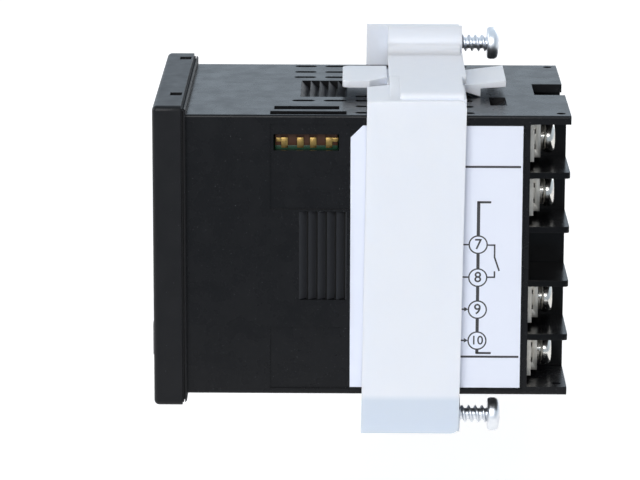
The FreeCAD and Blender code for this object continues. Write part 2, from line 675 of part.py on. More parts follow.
def make_keys():
    """Four keys that slide in, and the rubber mat whose domes return them."""
    flange_front = "-BezelDepth + BezelFace"
    for index, name in enumerate(KEY_NAMES):
        key = new_body(name)
        middle = key_column(index)
        across = (f"{middle} - KeyWide / 2", f"{middle} + KeyWide / 2")
        up = ("KeyLevel - KeyTall / 2", "KeyLevel + KeyTall / 2")
        cap = sketch(key, f"{name}_cap_outline", "XZ_Plane", "BezelDepth + KeyProud")
        rectangle(cap, across, up, "KeyRound")
        pad(key, f"{name}_cap", cap, "KeyProud + BezelFace", reversed_way=True)
        flange = sketch(key, f"{name}_flange_outline", "XZ_Plane", "BezelDepth - BezelFace")
        reach = "KeyPitch / 2 - KeyWide / 2 - KeyGap"
        rectangle(
            flange,
            (f"{across[0]} - ({reach})", f"{across[1]} + ({reach})"),
            (f"{up[0]} - ({reach})", f"{up[1]} + ({reach})"),
        )
        pad(key, f"{name}_flange", flange, "LensFlange", reversed_way=True)
    mat = new_body("key_mat")
    sheet_outline = sketch(mat, "mat_outline", "XZ_Plane", "-GasketLip")
    rectangle(sheet_outline, ("-2 * KeyPitch", "2 * KeyPitch"), ("KeyLevel - KeyTall", "KeyLevel + KeyTall"))
    pad(mat, "mat_sheet", sheet_outline, "MatThick")
    dome_outline = sketch(mat, "dome_outline", "XZ_Plane", "-GasketLip + MatThick / 2")
    circle(dome_outline, "KeyTall / 2", "-1.5 * KeyPitch", "KeyLevel")
    pressed = f"({flange_front} + LensFlange + KeyTravel)"
    dome = pad(mat, "dome", dome_outline, f"GasketLip - MatThick / 2 - {pressed} - DomeGap")
    pattern(mat, "domes", [dome], row("X_Axis", 4, "KeyPitch"))


# The rear: terminal block, plates, washers and screws -----------------------------------------


def make_terminal_block():
    """The rear moulding: two columns of bays between fins, a middle channel and four latches."""
    block = new_body("terminal_block")
    floor = sketch(block, "block_floor_outline", "XZ_Plane", f"-{BAY_FLOOR} + BayFloorThick")
    square(floor, INNER_SIDE)
    pad(block, "block_floor", floor, "BayFloorThick", reversed_way=True)
    towers = sketch(block, "block_outline", "XZ_Plane", f"-{BAY_FLOOR}")
    rectangle(towers, ("-BodySide / 2", "BodySide / 2"), (f"-{INNER_SIDE}", INNER_SIDE))
    pad(block, "block_mass", towers, "BayDeep", reversed_way=True)
    bay = sketch(block, "bay_outline", "XZ_Plane", "-BodyDepth")
    low = "-2 * BayPitch - BayTall / 2"
    rectangle(bay, (BAY_INNER, "BodySide / 2 + Wall"), (low, f"{low} + BayTall"))
    hollow = pocket(block, "bay", bay, "BayDeep", reversed_way=True)
    pattern(block, "bays", [hollow], row("Z_Axis", 5, "BayPitch"), mirror("YZ_Plane"))
    channel = sketch(block, "channel_outline", "XZ_Plane", "-BodyDepth")
    rectangle(channel, ("-ChannelHalf", "ChannelHalf"), ("-BodySide / 2", "BodySide / 2"))
    pocket(block, "channel", channel, "ChannelDeep", reversed_way=True)
    side, rear = number("BodySide / 2"), number("BodyDepth")

    def fin_corner(edge):
        middle = edge.BoundBox.Center
        return runs_along(edge, "z") and near(abs(middle.x), side) and near(middle.y, rear)

    dress(block, "Fillet", "fin_corners", "FinRound", fin_corner)
    holes = sketch(block, "screw_hole_outline", "XZ_Plane", f"-{BAY_FLOOR}")
    tail = ("TermX + PlateOut - 2 * PlateThick", "TermX + PlateOut")
    tails = {1: tail, -1: (f"-({tail[1]})", f"-({tail[0]})")}
    for bay_index in TERMINAL_BAYS:
        level = f"{bay_index} * BayPitch"
        for side_sign in (-1, 1):
            circle(holes, "ScrewRadius + FitGap", f"{side_sign} * TermX", level)
            rectangle(holes, tails[side_sign], (f"{level} - PlateThick", f"{level} + PlateThick"))
    pocket(block, "screw_holes", holes, "BayFloorThick", reversed_way=True)
    latch = sketch(block, "latch_outline", "YZ_Plane", "(LatchNear + LatchFar) / 2")
    arm_foot = f"{INNER_SIDE} - RackBacking"
    arm_end = f"{BAY_FLOOR} - 3 * BayFloorThick / 4"
    loop(
        latch,
        [
            (arm_end, arm_foot),
            (arm_end, INNER_SIDE),
            (LATCH_REAR, INNER_SIDE),
            (LATCH_REAR, f"{INNER_SIDE} + Wall - FitGap"),
            (f"{LATCH_FRONT} + FitGap", INNER_SIDE),
            (f"{LATCH_FRONT} + FitGap", arm_foot),
        ],
    )
    arm = pad(block, "latch", latch, "LatchFar - LatchNear - 2 * FitGap", both_ways=True)
    pattern(block, "latches", [arm], mirror("YZ_Plane"), mirror("XY_Plane"))


def make_terminal(key, side, bay_index):
    """One screw terminal: plate, square clamp washer, spring washer and pan-head screw."""
    across, level = f"{side} * TermX", f"{bay_index} * BayPitch"
    seat = f"{BAY_FLOOR} + PlateThick"
    plate, washer = make_plate(key, side), make_clamp_washer(key, seat)
    spring, screw = make_fastener(key, f"{seat} + ClampThick")
    for piece in (plate, washer, spring, screw):
        piece.setExpression("Placement.Base.x", fx(across))
        piece.setExpression("Placement.Base.z", fx(level))


def make_plate(key, side):
    """The flat plate of a terminal, with a tail through the floor of its bay."""
    plate = new_body(f"terminal_plate_{key}")
    face = sketch(plate, f"plate_outline_{key}", "XZ_Plane", f"-{BAY_FLOOR}")
    reach = ("-ClampSide / 2", "PlateOut") if side > 0 else ("-PlateOut", "ClampSide / 2")
    rectangle(face, reach, ("-PlateTall / 2", "PlateTall / 2"))
    pad(plate, f"plate_{key}", face, "PlateThick", reversed_way=True)
    tail = sketch(plate, f"tail_outline_{key}", "XZ_Plane", f"-{BAY_FLOOR}")
    ends = ("PlateOut - PlateThick - FitGap", "PlateOut - FitGap")
    ends = ends if side > 0 else tuple(f"-({end})" for end in ends[::-1])
    rectangle(tail, ends, ("-PlateThick + FitGap", "PlateThick - FitGap"))
    pad(plate, f"tail_{key}", tail, "BayFloorThick")
    bore = sketch(plate, f"plate_hole_outline_{key}", "XZ_Plane", f"-{BAY_FLOOR} - PlateThick")
    circle(bore, "ScrewRadius + RunningGap", "0", "0")
    pocket(plate, f"plate_hole_{key}", bore, "PlateThick", reversed_way=True)
    return plate


def make_clamp_washer(key, seat):
    """The square washer that clamps a wire, with two slots across each side of its grip."""
    washer = new_body(f"clamp_washer_{key}")
    face = sketch(washer, f"washer_outline_{key}", "XZ_Plane", f"-({seat})")
    square(face, "ClampSide / 2")
    circle(face, "ScrewRadius + RunningGap", "0", "0")
    pad(washer, f"washer_{key}", face, "ClampThick", reversed_way=True)
    grips = sketch(washer, f"grip_outline_{key}", "XY_Plane")
    for end in (-1, 1):
        middle = f"{end} * ClampSide / 3"
        deep = (f"{seat} - FitGap", f"{seat} + ClampThick / 3")
        rectangle(grips, (f"{middle} - FitGap", f"{middle} + FitGap"), deep)
    pocket(washer, f"grips_{key}", grips, None, both_ways=True)
    return washer


def make_fastener(key, seat):
    """The split spring washer on the clamp washer, and the screw through both."""
    top = f"{seat} + SpringThick"
    through = (f"{seat} - SpringThick", f"{top} + SpringThick")
    ring = rod(f"spring_ring_{key}", "SpringRadius", "0", (seat, top), "0")
    eye = rod(f"spring_eye_{key}", "ScrewRadius + RunningGap", "0", through, "0")
    split = box(f"spring_split_{key}", ("0", "SpringRadius + FitGap"), through, ("-FitGap", "FitGap"))
    spring = cut(f"spring_washer_{key}", ring, fuse(f"spring_cut_{key}", [eye, split]))
    tip = f"{BAY_FLOOR} - BayFloorThick + FitGap"
    screw = make_screw(f"terminal_screw_{key}", "ScrewRadius", "ScrewHead", "ScrewHeadTall", tip, top)
    return spring, screw


def make_screw(label, radius, head_radius, head_tall, tip, under):
    """A pan-head screw along +Y, with a cross recess in its head."""
    screw = new_body(label)
    half = sketch(screw, f"{label}_profile", "XY_Plane")
    top = f"{under} + {head_tall}"
    loop(
        half,
        [
            ("0", tip),
            (f"{radius} - TipCut", tip),
            (radius, f"{tip} + TipCut"),
            (radius, under),
            (head_radius, under),
            (head_radius, top),
            ("0", top),
        ],
    )
    turned = screw.newObject("PartDesign::Revolution", f"{label}_turned")
    turned.Profile = half
    turned.ReferenceAxis = (half, ["V_Axis"])
    turned.Angle = 360
    doc.recompute()
    rim, reach = number(top), number(head_radius)

    def top_rim(edge):
        bounds = edge.BoundBox
        return near(bounds.YMin, rim) and near(bounds.YMax, rim) and near(bounds.XMax, reach)

    dress(screw, "Fillet", f"{label}_crown", f"{head_tall} * CrownShare", top_rim)
    recess = sketch(screw, f"{label}_recess_outline", "XZ_Plane", f"-({top})")
    arm, half_wide = f"{head_radius} * DriveShare", "DriveWide / 2"
    corners = [(arm, half_wide), (half_wide, half_wide), (half_wide, arm)]
    outline = list(corners)
    for _ in range(3):
        corners = [(f"-({up})", across) for across, up in corners]
        outline += corners
    loop(recess, outline)
    pocket(screw, f"{label}_recess", recess, f"{head_tall} / 2", reversed_way=True)
    return screw


# The mounting adapter and its two clamp screws ------------------------------------------------


def make_adapter():
    """A one-piece ring: two side plates, two bridges with screw bosses, two latch levers."""
    adapter = new_body("mounting_adapter")
    inner, outer = "BodySide / 2 + RingGap", "BodySide / 2 + RingGap + RingThick"
    side = sketch(adapter, "side_outline", "YZ_Plane", outer)
    rear_corners = [("RingRear", "-PlateLong", "PlateRound"), ("RingRear", "PlateShort", "PlateRound")]
    loop(side, [("RingFront", "-PlateLong"), *rear_corners, ("RingFront", "PlateShort")])
    side_plate = pad(adapter, "side_plate", side, "RingThick", reversed_way=True)
    deck = sketch(adapter, "bridge_outline", "XZ_Plane", "-BridgeFront")
    skin = "BridgeTop - BridgeSkin"
    loop(
        deck,
        [
            (f"-({inner})", "PlateShort - RingThick"),
            (f"-({inner}) + RingThick", "PlateShort - RingThick"),
            (f"-({inner}) + RingThick", skin),
            (f"{inner} - RingThick", skin),
            (f"{inner} - RingThick", inner),
            (inner, inner),
            (inner, "BridgeTop"),
            (f"-({inner})", "BridgeTop"),
        ],
    )
    bridge = pad(adapter, "bridge", deck, "BridgeRear - BridgeFront", reversed_way=True)
    ledge = sketch(adapter, "shelf_outline", "XY_Plane", "PlateShort - ShelfThick")
    shelf_front = [("ShelfFront", "RingFront"), (inner, "RingFront")]
    shelf_rear = [(inner, "RingRear"), ("ShelfInner", "RingRear"), ("ShelfInner", "BossFront")]
    loop(ledge, shelf_front + shelf_rear)
    shelf = pad(adapter, "shelf", ledge, "ShelfThick")
    wide = sketch(adapter, "wide_deck_outline", "XZ_Plane", "-BossFront")
    rectangle(wide, (f"-({inner})", "LeverWide / 2 + RingThick"), (skin, "BridgeTop"))
    deck_wide = pad(adapter, "wide_deck", wide, "BossRear - BossFront", reversed_way=True)
    post = sketch(adapter, "boss_outline", "XZ_Plane", "-BossFront")
    circle(post, "BossRadius", "-BossX", "BossLevel")
    boss = pad(adapter, "boss", post, "BossRear - BossFront", reversed_way=True)
    web_outline = sketch(adapter, "web_outline", "XZ_Plane", "-BossFront")
    rectangle(web_outline, (f"-({inner})", "-BossX"), ("BridgeTop - BridgeSkin / 2", "BossLevel"))
    web = pad(adapter, "boss_web", web_outline, "RingRear - BossFront", reversed_way=True)
    lever_outline = sketch(adapter, "lever_outline", "YZ_Plane")
    foot = "LeverFoot"
    loop(
        lever_outline,
        [
            ("LeverFront", "TongueFoot"),
            ("BossFront - 2 * RingThick", "TongueFoot"),
            ("BossFront - 2 * RingThick", foot),
            ("RingRear - RingThick", foot),
            ("PawlTip - 2 * RingThick", f"{foot} + LeverRise / 2"),
            ("PawlTip", "BodySide / 2 + PawlGap"),
            ("PawlTip", f"{foot} + LeverRise"),
            ("LeverRear", f"{foot} + LeverRise + PawlGap"),
            ("LeverRear", f"{foot} + LeverRise + LeverThick"),
            ("RingRear - RingThick", f"{foot} + LeverThick"),
            ("TongueEnd", f"{foot} + LeverThick"),
            ("TongueEnd", "TongueTop"),
            ("LeverFront", "TongueTop"),
        ],
    )
    lever = pad(adapter, "lever", lever_outline, "LeverWide", both_ways=True)
    hinge = sketch(adapter, "hinge_outline", "YZ_Plane")
    middle = "(BridgeFront + BridgeRear) / 2"
    levels = (f"{foot} + LeverThick / 2", f"{skin} + BridgeSkin / 2")
    rectangle(hinge, (f"{middle} - RingThick", f"{middle} + RingThick"), levels)
    web_hinge = pad(adapter, "lever_hinge", hinge, "LeverWide", both_ways=True)
    pattern(
        adapter,
        "second_half",
        [side_plate, bridge, shelf, deck_wide, boss, web, lever, web_hinge],
        turn("Y_Axis", 2),
    )
    crest = sketch(adapter, "crest_outline", "YZ_Plane", f"-({inner})")
    rectangle(crest, ("RingFront", "RingRear"), ("PlateLong - PlateRound", "CrestTop"))
    pad(adapter, "crest", crest, "RingThick", reversed_way=True)
    for name, sign, upward in (("upper", "", True), ("lower", "-", False)):
        niche = sketch(adapter, f"{name}_niche_outline", "XY_Plane")
        edge, depth = f"{sign}(LeverWide / 2)", f"{sign}(LeverWide / 2 - NicheDeep)"
        loop(niche, [(edge, "NicheFront"), (edge, "TongueEnd"), (depth, "TongueEnd")])
        pocket(adapter, f"{name}_niche", niche, None, reversed_way=upward)
    bore = sketch(adapter, "boss_bore_outline", "XZ_Plane", "-BossFront")
    circle(bore, "ClampRadius + RunningGap", "-BossX", "BossLevel")
    circle(bore, "ClampRadius + RunningGap", "BossX", "-BossLevel")
    pocket(adapter, "boss_bores", bore, "BossRear - BossFront")
    lever_side = number("LeverWide / 2")
    front = number("LeverFront")

    def tongue_corner(edge):
        middle_point = edge.BoundBox.Center
        return runs_along(edge, "z") and near(middle_point.y, front) and near(abs(middle_point.x), lever_side)

    dress(adapter, "Fillet", "tongue_corners", "PlateRound", tongue_corner)


def make_clamp_screws():
    """The two long screws that press on the panel."""
    tip = "ClampUnder - ClampLong"
    places = {"clamp_screw_upper": ("-BossX", "BossLevel"), "clamp_screw_lower": ("BossX", "-BossLevel")}
    for name, (across, level) in places.items():
        screw = make_screw(name, "ClampRadius", "ClampHead", "ClampHeadTall", tip, "ClampUnder")
        screw.setExpression("Placement.Base.x", fx(across))
        screw.setExpression("Placement.Base.z", fx(level))


# Inside: boards and their parts, and the service port -----------------------------------------


def make_electronics():
    """The boards that run front to rear, the terminal board and their main parts."""
    span = (f"-{INNER_SIDE}", INNER_SIDE)
    rear = f"{BAY_FLOOR} - BayFloorThick"
    ends = ("GasketLip + BoardThick", f"{rear} - BoardThick")
    box("logic_board", span, ends, ("LogicTop - BoardThick", "LogicTop"))
    box("power_board", span, ends, ("PowerTop - BoardThick", "PowerTop"))
    inside_latches = f"({INNER_SIDE} - RackBacking - FitGap)"
    upright = (f"-{inside_latches}", inside_latches)
    box("terminal_board", span, (f"{rear} - BoardThick", rear), upright)
    core = box(
        "transformer_core",
        ("CoreNear", "CoreNear + CoreWide"),
        ("CoreFront", "CoreFront + CoreLong"),
        ("PowerTop", "PowerTop + CoreTall"),
    )
    coil = box(
        "transformer_coil",
        ("CoreNear + CoilStep", "CoreNear + CoreWide - CoilStep"),
        ("CoreFront - CoilStep", "CoreFront + CoreLong + CoilStep"),
        ("PowerTop", "PowerTop + CoreTall - CoilStep"),
    )
    fuse("transformer", [core, coil])
    box(
        "output_relay",
        ("RelayNear", "RelayNear + RelayWide"),
        ("RelayFront", "RelayFront + RelayLong"),
        ("PowerTop", "PowerTop + RelayTall"),
    )
    tall = ("PowerTop", "PowerTop + CapTall")
    rod("bulk_capacitor", "CapRadius", "-CapPlace", "CapPlace", tall, direction="Z")
    box(
        "processor_chip",
        ("-ChipSide / 2", "ChipSide / 2"),
        ("ChipFront", "ChipFront + ChipSide"),
        ("LogicTop", "LogicTop + ChipThick"),
    )


def make_port():
    """The service port: four gold contacts on a block, behind the window in the side."""
    outer_face = f"{INNER_SIDE} - FitGap"
    box(
        "port_insulator",
        ("SlotFar - FitGap", f"{outer_face} - FitGap"),
        ("PortFront + FitGap", "PortRear - FitGap"),
        ("LogicTop", "PortTop + BoardThick / 2"),
    )
    contacts = []
    middle = "(PortFront + PortRear) / 2"
    for index in range(CONTACTS):
        start = f"{middle} + ({index} - {CONTACTS - 1} / 2) * PortPitch - PortPin / 2"
        contacts.append(
            box(
                f"port_pin_{index + 1}",
                (f"{outer_face} - FitGap", outer_face),
                (start, f"{start} + PortPin"),
                ("LogicTop", "PortTop - FitGap"),
            )
        )
    group("port_contacts", contacts)


def make_label():
    """The side label, with one cut corner."""
    label = new_body("side_label")
    outline = sketch(label, "label_outline", "YZ_Plane", "BodySide / 2 - RecessDeep")
    loop(
        outline,
        [
            ("LabelFront", "LabelFoot"),
            ("BodyDepth - LabelEnd", "LabelFoot"),
            ("BodyDepth - LabelEnd", "LabelTop"),
            ("LabelFront + LabelCorner", "LabelTop"),
            ("LabelFront", "LabelTop - LabelCorner"),
        ],
    )
    pad(label, "label_sheet", outline, "LabelThick")


def export_parts():
    """Checks every object, then writes each sub-part that stands alone to its own file."""
    doc.recompute()
    for item in doc.Objects:
        if "Invalid" in item.State or "Error" in item.State:
            raise RuntimeError(f"{item.Name} failed: {item.State}")
    skipped = ("App::", "Sketcher::", "Spreadsheet::")
    nodes = []
    for item in doc.Objects:
        inside_body = item.TypeId.startswith("PartDesign::") and item.TypeId != "PartDesign::Body"
        used = any(user.TypeId.startswith("Part::") for user in item.InList)
        if not item.TypeId.startswith(skipped) and not inside_body and not used:
            nodes.append(item)
    os.makedirs("parts", exist_ok=True)
    for item in nodes:
        if item.Shape.isNull() or not item.Shape.isValid() or not item.Shape.Solids:
            raise RuntimeError(f"{item.Label} has no valid solid")
    for old in os.listdir("parts"):
        if old.endswith(".step"):
            os.remove(os.path.join("parts", old))
    for item in nodes:
        item.Shape.exportStep(os.path.join("parts", f"{item.Label}.step"))
        print(f"{item.Label}: {len(item.Shape.Solids)} solid(s), {item.Shape.Volume:.1f} mm3")
    print(f"{len(nodes)} nodes")


make_case()
make_bezel()
make_gasket()
make_display()
make_keys()
make_terminal_block()
terminals = [(side, bay_index) for side in (1, -1) for bay_index in TERMINAL_BAYS]
for terminal_number, (side_of_case, bay_of_terminal) in enumerate(terminals, start=1):
    make_terminal(terminal_number, side_of_case, bay_of_terminal)
make_adapter()
make_clamp_screws()
make_electronics()
make_port()
make_label()
export_parts()
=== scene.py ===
"""Visual model of a panel-mounted temperature controller with its clip-on mounting adapter.

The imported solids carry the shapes. This script gives them their finishes, replaces the mouldings
with softened copies, and adds what is too fine for the solids: screw threads, print and digits.
Lengths are in metres; +X is to the right seen from the front, +Y to the rear, +Z up. A sub-assembly
that gives its sizes in millimetres says so.
"""

import logging
import math
from contextlib import contextmanager
from dataclasses import dataclass, field
from enum import Enum
from functools import cache
from typing import Iterable, Iterator, Sequence

import bpy
from mathutils import Euler, Matrix, Vector


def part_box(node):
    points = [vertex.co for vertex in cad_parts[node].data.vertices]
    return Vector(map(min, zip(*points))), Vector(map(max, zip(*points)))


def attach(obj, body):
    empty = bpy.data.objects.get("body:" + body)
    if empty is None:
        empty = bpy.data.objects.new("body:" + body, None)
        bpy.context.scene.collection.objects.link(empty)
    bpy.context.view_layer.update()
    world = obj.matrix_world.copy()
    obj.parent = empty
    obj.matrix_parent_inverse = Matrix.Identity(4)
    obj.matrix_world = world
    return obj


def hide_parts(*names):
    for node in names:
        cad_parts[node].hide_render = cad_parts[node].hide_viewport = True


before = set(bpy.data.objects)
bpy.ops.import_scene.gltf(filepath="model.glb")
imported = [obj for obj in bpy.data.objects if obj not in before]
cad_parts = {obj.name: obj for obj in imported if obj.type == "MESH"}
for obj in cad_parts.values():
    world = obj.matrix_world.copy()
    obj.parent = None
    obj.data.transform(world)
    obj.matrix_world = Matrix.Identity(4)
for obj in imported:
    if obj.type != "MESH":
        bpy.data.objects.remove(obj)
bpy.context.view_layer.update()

MM = 0.001
QUARTER = math.pi / 2
ONE_SPOT = 1e-7
NOISE_SPAN = (0.3, 0.7)
LOG = logging.getLogger("controller")

Piece = bpy.types.Object
Socket = bpy.types.NodeSocket
Colour = tuple[float, float, float]
Point = tuple[float, float, float]
Pair = tuple[float, float]
Settings = tuple[tuple[str, float | Point], ...]


# Bench: small steps that every sub-assembly uses ----------------------------------------------


def deselect_all() -> None:
    """Leave edit mode and select nothing."""
    if bpy.context.object is not None and bpy.context.object.mode != "OBJECT":
        bpy.ops.object.mode_set(mode="OBJECT")
    bpy.ops.object.select_all(action="DESELECT")


def quarter_turn(steps: int) -> list[Pair]:
    """Sine and cosine at equal steps from nought to a quarter turn."""
    turns = [step / steps * QUARTER for step in range(steps + 1)]
    return [(math.sin(turn), math.cos(turn)) for turn in turns]


def take(piece: Piece) -> None:
    """Select one piece alone and make it active.

    Args:
        piece: The piece.
    """
    deselect_all()
    piece.select_set(True)
    bpy.context.view_layer.objects.active = piece


@contextmanager
def editing(piece: Piece) -> Iterator[None]:
    """Edit a piece's mesh with all of it selected, and leave edit mode at the end.

    Args:
        piece: The piece.

    Yields:
        Nothing.
    """
    take(piece)
    bpy.ops.object.mode_set(mode="EDIT")
    bpy.ops.mesh.select_all(action="SELECT")
    yield
    bpy.ops.object.mode_set(mode="OBJECT")


def settle(piece: Piece) -> None:
    """Put a piece's place, turn and scale into its mesh."""
    take(piece)
    bpy.ops.object.transform_apply(location=True, rotation=True, scale=True)


def set_down(piece: Piece, spot: Point, turn: Point = (0, 0, 0)) -> None:
    """Turn a piece about the origin, then move it, and put both into its mesh.

    Args:
        piece: The piece.
        spot: How far it moves.
        turn: Its turn about each axis.
    """
    piece.rotation_euler = turn
    settle(piece)
    piece.location = spot
    settle(piece)


def modify(piece: Piece, kind: str, **settings: object) -> None:
    """Add a modifier to a piece and apply it.

    Args:
        piece: The piece.
        kind: The modifier's kind.
        settings: The modifier's settings.
    """
    modifier = piece.modifiers.new(kind, kind)
    for name, value in settings.items():
        setattr(modifier, name, value)
    take(piece)
    bpy.ops.object.modifier_apply(modifier=modifier.name)


def face_outwards(piece: Piece) -> None:
    """Merge doubles and turn every face of a closed piece outwards.

    Args:
        piece: The piece.
    """
    with editing(piece):
        bpy.ops.mesh.remove_doubles(threshold=ONE_SPOT)
        bpy.ops.mesh.normals_make_consistent(inside=False)


def smooth(piece: Piece, degrees: float = 35.0) -> None:
    """Shade a piece smooth, with creases past an angle."""
    take(piece)
    bpy.ops.object.shade_smooth_by_angle(angle=math.radians(degrees))


def bevel(piece: Piece, width: float, least: float = math.radians(30)) -> None:
    """Round the edges of a piece where its faces turn by a least angle or more."""
    modify(piece, "BEVEL", width=width, segments=2, angle_limit=least, miter_outer="MITER_ARC")
    smooth(piece)


def block(name: str, low: Point, high: Point, edge: float = 0.0) -> Piece:
    """A block between two corners, with its edges rounded.

    Args:
        name: The piece's name.
        low: Lowest corner.
        high: Highest corner.
        edge: Radius of the rounded edges.

    Returns:
        The new piece.
    """
    centre = [(a + b) / 2 for a, b in zip(low, high)]
    bpy.ops.mesh.primitive_cube_add(size=1, location=centre)
    piece = bpy.context.object
    piece.name = name
    piece.scale = [b - a for a, b in zip(low, high)]
    settle(piece)
    if edge > 0:
        bevel(piece, edge)
    return piece


def profile(name: str, points: Sequence[Point]) -> Piece:
    """An open line through points, drawn by extruding one vertex.

    Args:
        name: The piece's name.
        points: The line's points in order.

    Returns:
        The line as a mesh of edges.
    """
    bpy.ops.mesh.primitive_plane_add(size=MM, location=points[0])
    line = bpy.context.object
    line.name = name
    with editing(line):
        bpy.ops.mesh.select_mode(type="VERT")
        bpy.ops.mesh.merge(type="CENTER")
        for here, onward in zip(points, points[1:]):
            step = [b - a for a, b in zip(here, onward)]
            bpy.ops.mesh.extrude_region_move(TRANSFORM_OT_translate={"value": step})
    settle(line)
    return line


def duplicate(piece: Piece, name: str, shift: Point) -> Piece:
    """A copy of a piece with its own mesh, moved by a shift.

    Args:
        piece: The piece.
        name: The copy's name.
        shift: How far the copy is moved.

    Returns:
        The copy.
    """
    copy = piece.copy()
    copy.data = piece.data.copy()
    copy.name = name
    bpy.context.collection.objects.link(copy)
    copy.location = shift
    settle(copy)
    return copy


def join(name: str, parts: Sequence[Piece]) -> Piece:
    """One piece from several.

    Args:
        name: The new piece's name.
        parts: What it is made of.

    Returns:
        The new piece.
    """
    deselect_all()
    for part in parts:
        part.select_set(True)
    bpy.context.view_layer.objects.active = parts[0]
    bpy.ops.object.join()
    parts[0].name = name
    return parts[0]


def carve(piece: Piece, cutters: Sequence[Piece]) -> None:
    """Cut each cutter out of a piece and delete it.

    Args:
        piece: The piece.
        cutters: The cutters.
    """
    for cutter in cutters:
        modify(piece, "BOOLEAN", operation="DIFFERENCE", solver="EXACT", object=cutter)
        bpy.data.objects.remove(cutter)
    face_outwards(piece)


def packed_copy(node: str, edge: float = 0.0) -> Piece:
    """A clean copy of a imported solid, with its flat faces made whole, which stands for it.

    Args:
        node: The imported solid's name.
        edge: Radius of its softened edges, or zero to leave them sharp.

    Returns:
        The new piece.
    """
    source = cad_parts[node]
    piece = bpy.data.objects.new(f"{node}_moulding", source.data.copy())
    bpy.context.collection.objects.link(piece)
    take(piece)
    if piece.data.has_custom_normals:
        bpy.ops.mesh.customdata_custom_splitnormals_clear()
    with editing(piece):
        bpy.ops.mesh.remove_doubles(threshold=2e-6)
        bpy.ops.mesh.dissolve_limited(angle_limit=math.radians(1.0))
    if edge > 0:
        soften(piece, edge)
    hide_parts(node)
    return piece


def soften(piece: Piece, width: float) -> None:
    """Round a moulding's edges, and keep its large flat faces flat in the light."""
    bevel(piece, width, math.radians(25))
    modify(piece, "WEIGHTED_NORMAL", keep_sharp=True)


# Finishes -------------------------------------------------------------------------------------


class Tree:
    """Lays out one node tree, with short names for the usual nodes."""

    def __init__(self, tree: bpy.types.NodeTree) -> None:
        """Take up a tree."""
        self.tree = tree

    def node(self, kind: str) -> bpy.types.Node:
        """Add a node."""
        return self.tree.nodes.new(f"ShaderNode{kind}")

    def link(self, out: Socket, into: Socket) -> None:
        """Join two sockets."""
        self.tree.links.new(out, into)

    def along(self, axis: str) -> Socket:
        """The place, or in a surround the direction, along one axis.

        Args:
            axis: X, Y or Z.

        Returns:
            The number.
        """
        split = self.node("SeparateXYZ")
        self.link(self.node("TexCoord").outputs["Object"], split.inputs["Vector"])
        return split.outputs[axis]

    def remap(self, value: Socket, taken: Pair, given: Pair) -> Socket:
        """Stretch part of a number's range to another range, clamped.

        Args:
            value: The number.
            taken: The part of its range.
            given: What that part becomes.

        Returns:
            The new number.
        """
        remap = self.node("MapRange")
        for name, number in zip(("From Min", "From Max", "To Min", "To Max"), (*taken, *given)):
            remap.inputs[name].default_value = number
        self.link(value, remap.inputs["Value"])
        return remap.outputs["Result"]

    def math(self, kind: str, *values: Socket | float) -> Socket:
        """Work out one number from others.

        Args:
            kind: What is worked out, such as MULTIPLY.
            values: Sockets or plain numbers.

        Returns:
            The result.
        """
        node = self.node("Math")
        node.operation = kind
        for socket, value in zip(node.inputs, values):
            if isinstance(value, (int, float)):
                socket.default_value = value
            else:
                self.link(value, socket)
        return node.outputs["Value"]

    def glow(self, kind: str, colour: Colour, strength: float | Socket) -> bpy.types.Node:
        """A light of its own.

        Args:
            kind: Background or Emission.
            colour: Its colour.
            strength: Its strength.

        Returns:
            The node.
        """
        node = self.node(kind)
        node.inputs["Color"].default_value = (*colour, 1)
        if isinstance(strength, float):
            node.inputs["Strength"].default_value = strength
        else:
            self.link(strength, node.inputs["Strength"])
        return node


class Shop(Tree):
    """Lays out one Principled material."""

    def __init__(self, name: str) -> None:
        """Start a material.

        Args:
            name: The material's name.
        """
        self.material = bpy.data.materials.new(name)
        self.material.use_nodes = True
        super().__init__(self.material.node_tree)
        self.shader = self.tree.nodes["Principled BSDF"]

    def noise(self, size: float, detail: float) -> Socket:
        """Noise over a piece.

        Args:
            size: Size of a feature, in metres.
            detail: Octaves of finer detail.

        Returns:
            The noise's factor.
        """
        noise = self.node("TexNoise")
        noise.inputs["Scale"].default_value = 1 / size
        noise.inputs["Detail"].default_value = detail
        self.link(self.node("TexCoord").outputs["Object"], noise.inputs["Vector"])
        return noise.outputs["Fac"]

    def mix(self, factor: Socket, under: Socket | Colour, over: Colour) -> Socket:
        """Lay a colour over another by a factor.

        Args:
            factor: The upper colour's share.
            under: The lower colour.
            over: The upper colour.

        Returns:
            The mixed colour.
        """
        mix = self.node("Mix")
        mix.data_type = "RGBA"
        if isinstance(under, tuple):
            mix.inputs[6].default_value = (*under, 1)
        else:
            self.link(under, mix.inputs[6])
        mix.inputs[7].default_value = (*over, 1)
        self.link(factor, mix.inputs[0])
        return mix.outputs[2]


